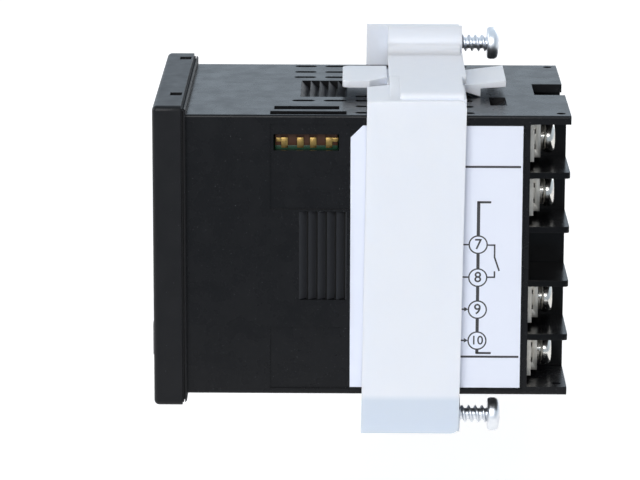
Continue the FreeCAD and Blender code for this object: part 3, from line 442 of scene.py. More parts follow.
@dataclass(frozen=True)
class Moulding:
    """A moulded plastic: slow changes of tone, uneven gloss, fine grain and, if wanted, dust.

    Drift and smear are the size and the octaves of the noise behind the tone and the gloss.
    """

    name: str
    colour: Colour
    tone: Colour
    rough: float
    level: float = 0.5
    grain: float = 0.00025
    grain_depth: float = 4e-6
    dust: float = 0.0
    speck: float = 0.00022
    speck_span: Pair = (0.76, 0.84)
    speck_share: float = 0.4
    dust_colour: Colour = (0.25, 0.26, 0.28)
    drift: Pair = (0.006, 4)
    smear: Pair = (0.003, 3)
    uneven: Pair = (-0.04, 0.05)
    more: Settings = ()

    def shade(self, shop: Shop) -> Socket:
        """The colour, with its slow changes of tone and its dust.

        Args:
            shop: Where the material is laid out.

        Returns:
            The colour.
        """
        shade = shop.mix(shop.noise(*self.drift), self.colour, self.tone)
        if self.dust > 0:
            span = (self.speck_span[0] - 0.03 * self.dust, self.speck_span[1])
            specks = shop.remap(shop.noise(self.speck, 1), span, (0.0, self.speck_share))
            shade = shop.mix(specks, shade, self.dust_colour)
        return shade

    def roughness(self, shop: Shop) -> Socket:
        """The roughness, a little uneven."""
        given = (self.rough + self.uneven[0], self.rough + self.uneven[1])
        return shop.remap(shop.noise(*self.smear), NOISE_SPAN, given)

    def make(self) -> bpy.types.Material:
        """Build the material.

        Returns:
            The material.
        """
        shop = Shop(self.name)
        shop.link(self.shade(shop), shop.shader.inputs["Base Color"])
        shop.link(self.roughness(shop), shop.shader.inputs["Roughness"])
        if self.grain_depth > 0:
            bump = shop.node("Bump")
            bump.inputs["Distance"].default_value = self.grain_depth
            shop.link(shop.noise(self.grain, 2), bump.inputs["Height"])
            shop.link(bump.outputs["Normal"], shop.shader.inputs["Normal"])
        for name, value in (("Specular IOR Level", self.level), *self.more):
            shop.shader.inputs[name].default_value = value
        return shop.material


@dataclass(frozen=True)
class RackedMoulding(Moulding):
    """A moulding whose ratchet racks are rougher, with painted sheen that makes them lighter and painted
    shade in the roots of their teeth.
    """

    rack_start: float = 17.95 * MM
    rack_end: float = 25.4 * MM
    rack_half: float = 7.05 * MM
    first_tooth: float = 18.0 * MM
    rack_pitch: float = 1.46 * MM
    # Painted shade: the share of each tooth's pitch, at its root, that is painted black.
    root_shade_share: float = 0.2
    # Painted sheen: the lighter colour of the racks. Painted shade: the black of the tooth roots.
    painted_sheen_colour: Colour = (0.034, 0.036, 0.041)
    root_painted_shade: Colour = (0.0008, 0.0008, 0.001)
    rack_rough: float = 0.55

    def rack(self, shop: Shop) -> Socket:
        """One inside the racks of the four sides, and zero elsewhere.

        Args:
            shop: Where the material is laid out.

        Returns:
            The factor.
        """
        nearer = shop.math("MINIMUM", *(shop.math("ABSOLUTE", shop.along(axis)) for axis in "XZ"))
        inside = shop.math("LESS_THAN", nearer, self.rack_half)
        for kind, edge in (("GREATER_THAN", self.rack_start), ("LESS_THAN", self.rack_end)):
            inside = shop.math("MULTIPLY", inside, shop.math(kind, shop.along("Y"), edge))
        return inside

    def shade(self, shop: Shop) -> Socket:
        """The colour, with painted sheen lightening the racks and painted shade blackening the roots of their
        teeth.

        Args:
            shop: Where the material is laid out.

        Returns:
            The colour.
        """
        teeth = shop.math("DIVIDE", shop.math("SUBTRACT", shop.along("Y"), self.first_tooth), self.rack_pitch)
        # Painted shade: the roots of the teeth, painted black as the shade in narrow slits.
        root_shade_mask = shop.math("GREATER_THAN", shop.math("FRACT", teeth), 1 - self.root_shade_share)
        rack = self.rack(shop)
        # Painted sheen lightens the racks, then painted shade blackens the roots.
        painted_sheen = shop.mix(rack, super().shade(shop), self.painted_sheen_colour)
        return shop.mix(shop.math("MULTIPLY", rack, root_shade_mask), painted_sheen, self.root_painted_shade)

    def roughness(self, shop: Shop) -> Socket:
        """The roughness, higher in the racks."""
        more = self.rack_rough - self.rough
        return shop.math("MULTIPLY_ADD", self.rack(shop), more, super().roughness(shop))


@dataclass(frozen=True)
class Translucent(Moulding):
    """A milky plastic that light enters a little, with painted shade at its foot."""

    level: float = 0.45
    grain: float = 0.0007
    grain_depth: float = 6e-6
    drift: Pair = (0.009, 3)
    smear: Pair = (0.002, 3)
    uneven: Pair = (-0.04, 0.08)
    # foot is the colour of the painted shade at the adapter's foot, and the span below is where it fades in.
    foot: Colour = (0.66, 0.73, 0.83)
    painted_shade_span: Pair = (-23.0 * MM, -22.1 * MM)
    more: Settings = (
        ("Subsurface Weight", 0.55),
        ("Subsurface Scale", 0.0012),
        ("Subsurface Radius", (0.9, 0.95, 1.0)),
    )

    def shade(self, shop: Shop) -> Socket:
        """The colour, with painted shade at the foot, where nothing pale stands behind it."""
        # Painted shade: the foot colour fades in towards the bottom of the adapter.
        foot = shop.remap(shop.along("Z"), self.painted_shade_span, (1.0, 0.0))
        return shop.mix(foot, super().shade(shop), self.foot)


@dataclass(frozen=True)
class Plated(Moulding):
    """A plated metal with faint marks left by tools and handling."""

    grain: float = 0.00018
    drift: Pair = (0.0012, 3)
    smear: Pair = (0.0006, 3)
    uneven: Pair = (-0.05, 0.08)
    more: Settings = (("Metallic", 1.0),)


@dataclass(frozen=True)
class Glazing(Moulding):
    """A smoked clear plastic."""

    grain_depth: float = 0.0
    drift: Pair = (0.01, 2)
    smear: Pair = (0.004, 2)
    uneven: Pair = (-0.02, 0.02)
    more: Settings = (("Transmission Weight", 0.9), ("IOR", 1.49))


class Finish(Enum):
    """Every finish on the controller."""

    # The case's racks carry painted sheen, and painted shade in the roots of their teeth.
    CASE = RackedMoulding(
        "case_black", (0.005, 0.0051, 0.006), (0.0066, 0.0067, 0.008), 0.27, 0.2, grain_depth=3e-6, dust=1.0
    )
    BEZEL = Moulding("bezel_black", (0.0054, 0.0056, 0.0068), (0.0072, 0.0074, 0.0088), 0.38, 0.21, dust=0.4)
    FIN = Moulding("fin_black", (0.0016, 0.0016, 0.002), (0.003, 0.003, 0.0036), 0.2, 0.17, grain_depth=2e-6)
    RUBBER = Moulding("gasket_rubber", (0.006, 0.006, 0.007), (0.01, 0.01, 0.011), 0.6, 0.2)
    KEY = Moulding("key_grey", (0.1, 0.105, 0.115), (0.12, 0.125, 0.135), 0.45, 0.4)
    # The adapter's finish has painted shade at its foot.
    ADAPTER = Translucent("adapter_milky", (0.83, 0.86, 0.93), (0.79, 0.83, 0.91), 0.32)
    ZINC = Plated("screw_zinc", (0.8, 0.82, 0.85), (0.68, 0.7, 0.74), 0.36)
    NICKEL = Plated("terminal_nickel", (0.76, 0.74, 0.7), (0.64, 0.62, 0.58), 0.18, grain=0.0006)
    WASHER = Plated("washer_nickel", (0.72, 0.68, 0.62), (0.48, 0.45, 0.4), 0.42, grain=0.0005)
    GOLD = Plated("contact_gold", (0.36, 0.24, 0.08), (0.27, 0.175, 0.06), 0.3)
    BROWN = Moulding("insulator_brown", (0.045, 0.017, 0.008), (0.065, 0.026, 0.012), 0.5, 0.25)
    BOARD = Moulding("board_green", (0.006, 0.035, 0.018), (0.009, 0.048, 0.022), 0.35, 0.3)
    LABEL = Moulding("label_film", (0.8, 0.84, 0.95), (0.775, 0.82, 0.94), 0.5, 0.35, grain_depth=1.5e-6)
    PRINT = Moulding("label_ink", (0.045, 0.045, 0.05), (0.06, 0.06, 0.066), 0.55, 0.3)
    LENS = Glazing("lens_smoked", (0.2, 0.205, 0.22), (0.184, 0.1886, 0.2024), 0.05)
    PANEL = Moulding("display_dark", (0.006, 0.0065, 0.008), (0.009, 0.0095, 0.011), 0.6, 0.2)
    SEGMENT = Moulding("segment_grey", (0.16, 0.17, 0.18), (0.2, 0.21, 0.22), 0.35, 0.4)
    COIL = Moulding("coil_tape", (0.6, 0.42, 0.08), (0.68, 0.5, 0.12), 0.5, 0.4)
    PART = Moulding("component_black", (0.015, 0.015, 0.016), (0.022, 0.022, 0.024), 0.5, 0.4)
    MARK = Moulding("key_mark", (0.7, 0.71, 0.73), (0.76, 0.77, 0.79), 0.5, 0.3)


@cache
def material(finish: Finish) -> bpy.types.Material:
    """A finish's material, which is made once."""
    return finish.value.make()


def dress(piece: Piece, finish: Finish) -> None:
    """Dress a piece in one finish all over.

    Args:
        piece: The piece.
        finish: Its finish.
    """
    if not piece.data.materials:
        piece.data.materials.append(None)
    for slot in piece.material_slots:
        slot.material = material(finish)


def dress_packed(names: Iterable[str], finish: Finish) -> None:
    """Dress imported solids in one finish."""
    for name in names:
        dress(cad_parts[name], finish)


def place(piece: Piece, finish: Finish, body: str) -> None:
    """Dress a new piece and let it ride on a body.

    Args:
        piece: The piece.
        finish: Its finish.
        body: The body that it rides on.
    """
    dress(piece, finish)
    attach(piece, body)
    LOG.info("%s: %d faces, rides on %s", piece.name, len(piece.data.polygons), body)


# Sub-assemblies -------------------------------------------------------------------------------


@dataclass
class Housing:
    """The case, the bezel, the gasket and the terminal block."""

    edge: float = 0.12 * MM

    def build(self) -> None:
        """Dress the mouldings."""
        dress_packed(("case",), Finish.CASE)
        dress_packed(("panel_gasket",), Finish.RUBBER)
        place(packed_copy("front_bezel", self.edge), Finish.BEZEL, "controller")
        place(packed_copy("terminal_block", self.edge), Finish.FIN, "controller")


@dataclass
class Inside:
    """The boards and what stands on them, seen only through the vents and the port."""

    boards: tuple[str, ...] = ("display_board", "logic_board", "power_board", "terminal_board")
    parts: tuple[str, ...] = ("output_relay", "bulk_capacitor", "processor_chip")

    def build(self) -> None:
        """Dress the boards, the components and the mat behind the keys."""
        dress_packed(self.boards, Finish.BOARD)
        dress_packed(self.parts, Finish.PART)
        dress_packed(("transformer",), Finish.COIL)
        dress_packed(("key_mat",), Finish.RUBBER)


@dataclass
class ServicePort:
    """Four gilded contacts on a brown block, over the board's green edge, in millimetres."""

    starts: tuple[float, ...] = (15.18, 17.65, 19.66, 22.13)
    wide: float = 1.03
    lowered: float = 0.45
    foot: float = 0.2
    sunk: float = 0.1
    arm_front: float = 14.42
    arm_rear: float = 24.05
    arm_levels: Pair = (0.75, 0.15)
    arm_back: float = 0.02
    lap: float = 0.05
    slot_deep: float = 0.25
    slot_spare: float = 0.08
    board_out: Pair = (0.02, 0.12)
    board_tall: float = 0.6

    def build(self) -> None:
        """Model the contacts, the block and the board's edge."""
        (back, _, foot), (face, _, top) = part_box("port_contacts")
        foot, top = foot + self.foot * MM, top - self.lowered * MM
        corner = (face, self.wide * MM, top - self.sunk * MM)
        first = block("contact", (back, 0, foot), corner, 0.05 * MM)
        pins = [duplicate(first, "contact", (0, start * MM, 0)) for start in self.starts]
        bpy.data.objects.remove(first)
        for start, end in ((self.arm_front, self.starts[0]), (self.starts[-1] + self.wide, self.arm_rear)):
            low = (back, (start - self.lap) * MM, top - self.arm_levels[0] * MM)
            high = (face - self.arm_back * MM, (end + self.lap) * MM, top - self.arm_levels[1] * MM)
            pins.append(block("arm", low, high, 0.04 * MM))
        contacts = join("port_contacts_gilded", pins)
        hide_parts("port_contacts")
        place(contacts, Finish.GOLD, "controller")
        self.insulator()

    def insulator(self) -> None:
        """The block, slotted for the contacts, and the board's edge before it."""
        low, (face, rear, top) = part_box("port_insulator")
        top -= self.lowered * MM
        body = block("port_block", low, (face, rear, top), 0.15 * MM)
        slots = []
        for start in self.starts:
            front, back = start - self.slot_spare, start + self.wide + self.slot_spare
            corner = (face - self.slot_deep * MM, front * MM, low[2] - MM)
            slots.append(block("slot", corner, (face + MM, back * MM, top + MM)))
        carve(body, slots)
        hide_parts("port_insulator")
        place(body, Finish.BROWN, "controller")
        near, far = (face + out * MM for out in self.board_out)
        corner = (far, rear - self.lap * MM, low[2] + self.board_tall * MM)
        edge = block("port_board_edge", (near, low[1] + self.lap * MM, low[2]), corner, 0.03 * MM)
        place(edge, Finish.BOARD, "controller")


@dataclass
class PanHead:
    """A pan head turned about Y, with a rolled edge, a cross recess and, if wanted, a shank.

    A share is of the head's radius across, and of its height along. The recess is its half length,
    its half width and its depth.
    """

    centre: Pair
    under: float
    top: float
    radius: float
    shank: float = 0.0
    tip: float = 0.0
    sides: int = 40
    chamfer: float = 0.3 * MM
    roll: Pair = (0.14, 0.3)
    dome: Pair = (0.32, 0.42)
    waist: float = 0.5
    crown: tuple[Pair, ...] = ((0.62, 0.935), (0.35, 0.985), (0.0, 1.0))
    recess: Point = (0.6, 0.13, 0.55)

    def outline(self) -> list[Pair]:
        """Half the head's section, from the axis round to the axis.

        Returns:
            Points, as radius and place along Y.
        """
        tall = self.top - self.under
        points = [(0.0, self.under)]
        if self.shank:
            points = [(0.0, self.tip), (0.8 * self.shank, self.tip)]
            points += [(self.shank, self.tip + self.chamfer), (self.shank, self.under)]
        across, along = self.roll
        shares = [(1 - across * (1 - sine), along * (1 - cosine)) for sine, cosine in quarter_turn(4)]
        shares.append((1.0, self.waist))
        across, along = self.dome
        arc = quarter_turn(8)[1:-1]
        shares += [(1 - across * (1 - cosine), self.waist + along * sine) for sine, cosine in arc]
        shares += self.crown
        return points + [(self.radius * across, self.under + tall * along) for across, along in shares]

    def build(self, name: str) -> Piece:
        """Turn the head and cut its recess.

        Args:
            name: The piece's name.

        Returns:
            The head.
        """
        x, z = self.centre
        head = profile(name, [(x + across, along, z) for across, along in self.outline()])
        with editing(head):
            bpy.ops.mesh.spin(steps=self.sides, angle=2 * math.pi, center=(x, 0, z), axis=(0, 1, 0))
        face_outwards(head)
        tall = self.top - self.under
        long, wide, deep = self.recess[0] * self.radius, self.recess[1] * self.radius, self.recess[2] * tall
        cutters = []
        for length, breadth in ((long, wide), (wide, long)):
            low = (x - length, self.top - deep, z - breadth)
            cutters.append(block("recess", low, (x + length, self.top + tall, z + breadth)))
        carve(head, cutters)
        smooth(head, 40)
        return head


@dataclass
class Terminals:
    """The eight screw terminals: each piece is modelled once and copied to every bay."""

    near: int = 4
    bays: int = 8
    shank: float = 1.46 * MM
    spring_inner: float = 1.6 * MM
    spring_outer: float = 2.25 * MM
    spring_gap: float = 0.3
    spring_turn: float = math.radians(335)
    hole_spare: float = 0.1 * MM
    notch_level: float = 1.25 * MM
    notch_half: float = 0.36 * MM

    def build(self) -> None:
        """Model the pieces of the first terminal and copy them to the others."""
        dress_packed([f"terminal_plate_{number}" for number in range(1, self.bays + 1)], Finish.WASHER)
        self.home = self.middle(1)
        low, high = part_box("terminal_screw_1")
        under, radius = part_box("spring_washer_1")[1][1], (high[0] - low[0]) / 2
        screw = PanHead(self.home, under, high[1], radius, self.shank, low[1]).build("screw")
        self.spread(screw, "terminal_screw", Finish.NICKEL)
        self.spread(self.spring(), "spring_washer", Finish.WASHER)
        self.spread(self.clamp(), "clamp_washer", Finish.WASHER)

    def middle(self, number: int) -> Pair:
        """The axis of a terminal, as X and Z."""
        low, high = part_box(f"terminal_screw_{number}")
        return (low[0] + high[0]) / 2, (low[2] + high[2]) / 2

    def spread(self, first: Piece, kind: str, finish: Finish) -> None:
        """Copy a piece of the first terminal to every terminal and dress the copies.

        Args:
            first: The piece of the first terminal.
            kind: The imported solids' name without its number.
            finish: The copies' finish.
        """
        for number in range(1, self.bays + 1):
            across, up = self.middle(number)
            piece = duplicate(first, f"{kind}_{number}_metal", (-self.home[0], 0, -self.home[1]))
            set_down(piece, (across, 0, up), (0, math.pi if number > self.near else 0, 0))
            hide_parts(f"{kind}_{number}")
            place(piece, finish, f"terminal_screw_{number}")
        bpy.data.objects.remove(first)

    def spring(self) -> Piece:
        """The split washer, whose two ends stand a little apart.

        Returns:
            The washer.
        """
        low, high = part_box("spring_washer_1")
        rise = self.spring_gap * (high[1] - low[1])
        tall = high[1] - low[1] - rise
        corners = [(self.spring_inner, 0, 0), (self.spring_outer, 0, 0), (self.spring_outer, tall, 0)]
        corners += [(self.spring_inner, tall, 0), (self.spring_inner, 0, 0)]
        ring = profile("spring", corners)
        modify(ring, "SCREW", axis="Y", angle=self.spring_turn, screw_offset=rise, steps=36, render_steps=36)
        with editing(ring):
            bpy.ops.mesh.remove_doubles(threshold=1e-6)
            bpy.ops.mesh.select_all(action="DESELECT")
            bpy.ops.mesh.select_mode(type="EDGE")
            bpy.ops.mesh.select_non_manifold()
            bpy.ops.mesh.fill_holes(sides=0)
        face_outwards(ring)
        winds_up = min(vertex.co.y for vertex in ring.data.vertices) > -ONE_SPOT
        set_down(ring, (self.home[0], low[1] if winds_up else low[1] + rise, self.home[1]))
        smooth(ring)
        return ring

    def clamp(self) -> Piece:
        """The square washer, with two notches at the foot of each side and softened corners.

        Returns:
            The washer.
        """
        low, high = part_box("clamp_washer_1")
        plate = block("clamp", low, high)
        bpy.ops.mesh.primitive_cylinder_add(
            radius=self.shank + self.hole_spare,
            depth=high[1] - low[1] + 2 * MM,
            location=(self.home[0], (low[1] + high[1]) / 2, self.home[1]),
            rotation=(QUARTER, 0, 0),
        )
        cutters = [bpy.context.object]
        settle(cutters[0])
        for level in (self.home[1] - self.notch_level, self.home[1] + self.notch_level):
            start = (low[0] - MM, low[1] - MM, level - self.notch_half)
            end = (high[0] + MM, low[1] + self.notch_half, level + self.notch_half)
            cutters.append(block("notch", start, end))
        carve(plate, cutters)
        bevel(plate, 0.1 * MM)
        return plate


@dataclass
class Adapter:
    """The milky mounting adapter, which sits a little askew, in millimetres.

    A fold is its X, its Z and its share of the fold's radius.
    """

    edge: float = 0.16
    fold: float = 0.8
    folds: tuple[Point, ...] = ((22.6, 26.0, 1.0), (24.0, 24.95, 0.5), (-14.35, 26.0, 1.0))
    fold_least: float = 9.0
    lean: float = 0.014
    set_back: float = 0.3
    web_low: Point = (7.9, 32.05, 24.85)
    web_high: Point = (22.5, 33.7, 25.96)
    web_break: float = 10.8
    web_foot: float = 24.97
    barrel: Pair = (-17.0, 27.05)
    barrel_radius: float = 2.85
    fillet_rise: float = 1.3
    fillet_run: float = 3.2
    fillet_steps: int = 10
    deck: float = 26.0
    deck_front: float = 32.05
    deck_rear: float = 43.85
    lever_half: float = 7.0
    lever_start: float = 42.4
    lever_end: float = 50.6
    lever_levels: Pair = (23.2, 25.2)
    lever_drop: float = 0.4
    drop_run: float = 8.1

    def build(self) -> None:
        """Soften the moulding, add the webs beside its levers, lean both and dress them."""
        ring = packed_copy("mounting_adapter")
        self.lower_levers(ring)
        self.round_folds(ring)
        soften(ring, self.edge * MM)
        for piece in (ring, self.trims()):
            for vertex in piece.data.vertices:
                vertex.co.y += self.lean * vertex.co.z - self.set_back * MM
            place(piece, Finish.ADAPTER, "adapter")

    def round_folds(self, ring: Piece) -> None:
        """Round the wide folds along Y, each with its share of the radius.

        Args:
            ring: The adapter's moulding.
        """
        weights = ring.data.attributes.new("bevel_weight_edge", "FLOAT", "EDGE")
        for edge in ring.data.edges:
            first, second = (ring.data.vertices[index].co for index in edge.vertices)
            run, side = second - first, math.copysign(1, first.z)
            if abs(run.x) + abs(run.z) > 0.01 * MM or abs(run.y) < self.fold_least * MM:
                continue
            for across, up, share in self.folds:
                if abs(side * first.x - across * MM) + abs(side * first.z - up * MM) < 0.05 * MM:
                    weights.data[edge.index].value = share
        wide = self.fold * MM
        modify(ring, "BEVEL", width=wide, segments=4, limit_method="WEIGHT", use_clamp_overlap=False)
        weights = ring.data.attributes.get("bevel_weight_edge")
        if weights is not None:
            ring.data.attributes.remove(weights)

    def lower_levers(self, ring: Piece) -> None:
        """Bring the levers' free ends nearer the case, most of all where they leave the decks.

        Args:
            ring: The adapter's moulding.
        """
        foot, top = self.lever_levels
        for vertex in ring.data.vertices:
            spot = vertex.co
            free = abs(spot.x) < self.lever_half * MM and spot.y > self.lever_start * MM
            if free and foot * MM < abs(spot.z) < top * MM:
                drop = self.lever_drop * (self.lever_end * MM - spot.y) / self.drop_run
                spot.z -= math.copysign(drop, spot.z)

    def web(self) -> Piece:
        """The sloped web between a deck and its shelf.

        Returns:
            The web.
        """
        low, high = ([value * MM for value in corner] for corner in (self.web_low, self.web_high))
        web = block("web", low, high)
        with editing(web):
            bpy.ops.mesh.bisect(plane_co=(self.web_break * MM, 0, 0), plane_no=(1, 0, 0))
        for vertex in web.data.vertices:
            if vertex.co.x > high[0] - 0.1 * MM and vertex.co.z > high[2] - 0.1 * MM:
                vertex.co.z = self.web_foot * MM
        return web

    def fillet(self) -> Piece:
        """The hollow fillet between a screw's barrel and its deck, on the side of the levers.

        Returns:
            The fillet.
        """
        top = self.deck + self.fillet_rise
        side = self.barrel[0] + math.sqrt(self.barrel_radius**2 - (top - self.barrel[1]) ** 2)
        points = []
        for sine, cosine in quarter_turn(self.fillet_steps):
            points.append((side + self.fillet_run * (1 - cosine), top - self.fillet_rise * sine))
        buried = self.deck - 0.1
        points += [(points[-1][0], buried), (side - 0.4, buried), (side - 0.4, top), points[0]]
        piece = profile("fillet", [(across * MM, self.deck_front * MM, up * MM) for across, up in points])
        with editing(piece):
            bpy.ops.mesh.remove_doubles(threshold=ONE_SPOT)
            bpy.ops.mesh.edge_face_add()
            length = (self.deck_rear - self.deck_front) * MM
            bpy.ops.mesh.extrude_region_move(TRANSFORM_OT_translate={"value": (0, length, 0)})
        face_outwards(piece)
        return piece

    def trims(self) -> Piece:
        """The web and the fillet above, and the same below.

        Returns:
            All four as one piece.
        """
        upper = join("trims", [self.web(), self.fillet()])
        smooth(upper)
        lower = duplicate(upper, "trims", (0, 0, 0))
        set_down(lower, (0, 0, 0), (0, math.pi, 0))
        return join("adapter_webs", [upper, lower])


@dataclass
class ClampScrew:
    """One long screw with a coarse thread and a pan head."""

    node: str
    body: str
    major: float = 1.38 * MM
    minor: float = 0.92 * MM
    pitch: float = 1.06 * MM
    head_radius: float = 2.65 * MM
    head_tall: float = 2.0 * MM
    set_out: float = 0.25 * MM
    sides: int = 40
    ridge: Point = (0.32, 0.58, 0.72)

    def build(self) -> None:
        """Make the thread and the head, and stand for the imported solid."""
        low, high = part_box(self.node)
        centre = ((low[0] + high[0]) / 2, (low[2] + high[2]) / 2)
        top = high[1] + self.set_out
        under = top - self.head_tall
        shank = self.thread(centre, low[1] + self.set_out, under + 0.1 * MM)
        head = PanHead(centre, under, top, self.head_radius).build("head")
        screw = join(f"{self.node}_threaded", [head, shank])
        smooth(screw, 40)
        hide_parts(self.node)
        place(screw, Finish.ZINC, self.body)

    def thread(self, centre: Pair, start: float, end: float) -> Piece:
        """A helical thread between two places along Y.

        Args:
            centre: The axis, as X and Z.
            start: Where the thread starts.
            end: Where the thread ends.

        Returns:
            The threaded shank.
        """
        radii = (self.minor, self.minor, self.major, self.major, self.minor)
        levels = (0.0, *self.ridge, 1.0)
        shank = profile("thread", [(radius, 0.0, level * self.pitch) for level, radius in zip(levels, radii)])
        turns = math.ceil((end - start) / self.pitch) + 2
        steps = {"steps": self.sides, "render_steps": self.sides, "iterations": turns}
        merge = {"use_merge_vertices": True, "merge_threshold": 1e-6}
        modify(shank, "SCREW", axis="Z", screw_offset=self.pitch, **steps, **merge)
        face_outwards(shank)
        cut = {"plane_no": (0, 0, 1), "use_fill": True}
        with editing(shank):
            bpy.ops.mesh.bisect(plane_co=(0, 0, self.pitch), clear_inner=True, **cut)
            bpy.ops.mesh.select_all(action="SELECT")
            bpy.ops.mesh.bisect(plane_co=(0, 0, self.pitch + end - start), clear_outer=True, **cut)
        set_down(shank, (centre[0], start - self.pitch, centre[1]), (-QUARTER, 0, 0))
        face_outwards(shank)
        return shank


@dataclass
class SideLabel:
    """The white side label with a plain wiring sketch, in millimetres from its middle.

    A bar is its two ends, each as Y and Z, and its width.
    """

    rise: float = 0.015
    circle_line: float = 0.11
    circle_radius: float = 1.4
    column: float = 46.0
    numbers: tuple[tuple[str, float, float], ...] = (
        ("7", 1.86, 2.35),
        ("8", -3.44, 2.35),
        ("9", -8.61, 2.35),
        ("10", -13.64, 2.0),
    )
    bolder: float = 0.022
    bus: tuple[Pair, ...] = ((3.25, 8.8), (-2.05, 0.45), (-7.2, -4.85), (-12.25, -10.0), (-15.75, -15.05))
    bus_wide: float = 0.5
    bars: tuple[tuple[Pair, Pair, float], ...] = (
        ((45.9, 8.65), (47.95, 8.65), 0.34),
        ((45.9, -15.65), (48.2, -15.65), 0.34),
        ((47.4, 1.8), (48.7, 1.8), 0.24),
        ((47.4, -3.36), (48.7, -3.36), 0.24),
        ((48.58, 1.85), (48.58, -0.2), 0.24),
        ((48.56, -0.1), (49.33, -2.35), 0.26),
        ((48.6, -3.4), (48.6, -2.4), 0.24),
        ((43.4, 1.86), (44.6, 1.86), 0.24),
        ((43.4, -3.36), (44.6, -3.36), 0.24),
        ((43.3, -8.55), (44.0, -8.55), 0.24),
        ((43.3, -13.6), (44.0, -13.6), 0.24),
        ((43.65, 14.28), (52.5, 14.28), 0.34),
        ((43.2, -16.25), (52.55, -16.25), 0.34),
    )
    arrows: tuple[Pair, ...] = ((44.15, -8.55), (44.15, -13.6))
    arrow_radius: float = 0.42
    parts: list[Piece] = field(default_factory=list)

    def build(self) -> None:
        """Dress the film and lay the print on it."""
        dress_packed(("side_label",), Finish.LABEL)
        self.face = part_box("side_label")[1][0]
        for foot, top in self.bus:
            self.bar((self.column, foot), (self.column, top), self.bus_wide)
        for bar in self.bars:
            self.bar(*bar)
        for spot in self.arrows:
            self.arrow_head(spot)
        for number in self.numbers:
            self.number(*number)
        place(join("label_print", self.parts), Finish.PRINT, "controller")

    def bar(self, near: Pair, far: Pair, wide: float) -> None:
        """Print a line.

        Args:
            near: One end.
            far: The other end.
            wide: Its width.
        """
        start, end = Vector(near) * MM, Vector(far) * MM
        middle, run = (start + end) / 2, end - start
        bpy.ops.mesh.primitive_cube_add(size=1, location=(self.face, middle.x, middle.y))
        piece = bpy.context.object
        piece.scale = (2 * self.rise * MM, run.length, wide * MM)
        piece.rotation_euler = (math.atan2(run.y, run.x), 0, 0)
        settle(piece)
        self.parts.append(piece)

    def number(self, text: str, up: float, size: float) -> None:
        """Print a number in its circle.

        Args:
            text: The number.
            up: The level of its middle.
            size: Its height.
        """
        middle = (self.face, self.column * MM, up * MM)
        bpy.ops.mesh.primitive_torus_add(
            major_radius=self.circle_radius * MM,
            minor_radius=self.circle_line * MM,
            major_segments=40,
            minor_segments=6,
            location=middle,
            rotation=(0, QUARTER, 0),
        )
        circle = bpy.context.object
        circle.scale = (1, 1, self.rise / self.circle_line)
        settle(circle)
        bpy.ops.object.text_add(location=middle, rotation=(QUARTER, 0, QUARTER))
        digits = bpy.context.object
        digits.data.body = text
        digits.data.size = size * MM
        digits.data.align_x = digits.data.align_y = "CENTER"
        digits.data.extrude = self.rise * MM
        digits.data.offset = self.bolder * MM
        digits.data.resolution_u = 4
        bpy.ops.object.convert(target="MESH")
        settle(digits)
        face_outwards(digits)
        self.parts += [circle, digits]

    def arrow_head(self, spot: Pair) -> None:
        """Print an arrow head that points to the rear.

        Args:
            spot: Its middle.
        """
        bpy.ops.mesh.primitive_cylinder_add(
            vertices=3,
            radius=self.arrow_radius * MM,
            depth=2 * self.rise * MM,
            location=(self.face, spot[0] * MM, spot[1] * MM),
            rotation=(0, QUARTER, 0),
        )
        settle(bpy.context.object)
        self.parts.append(bpy.context.object)


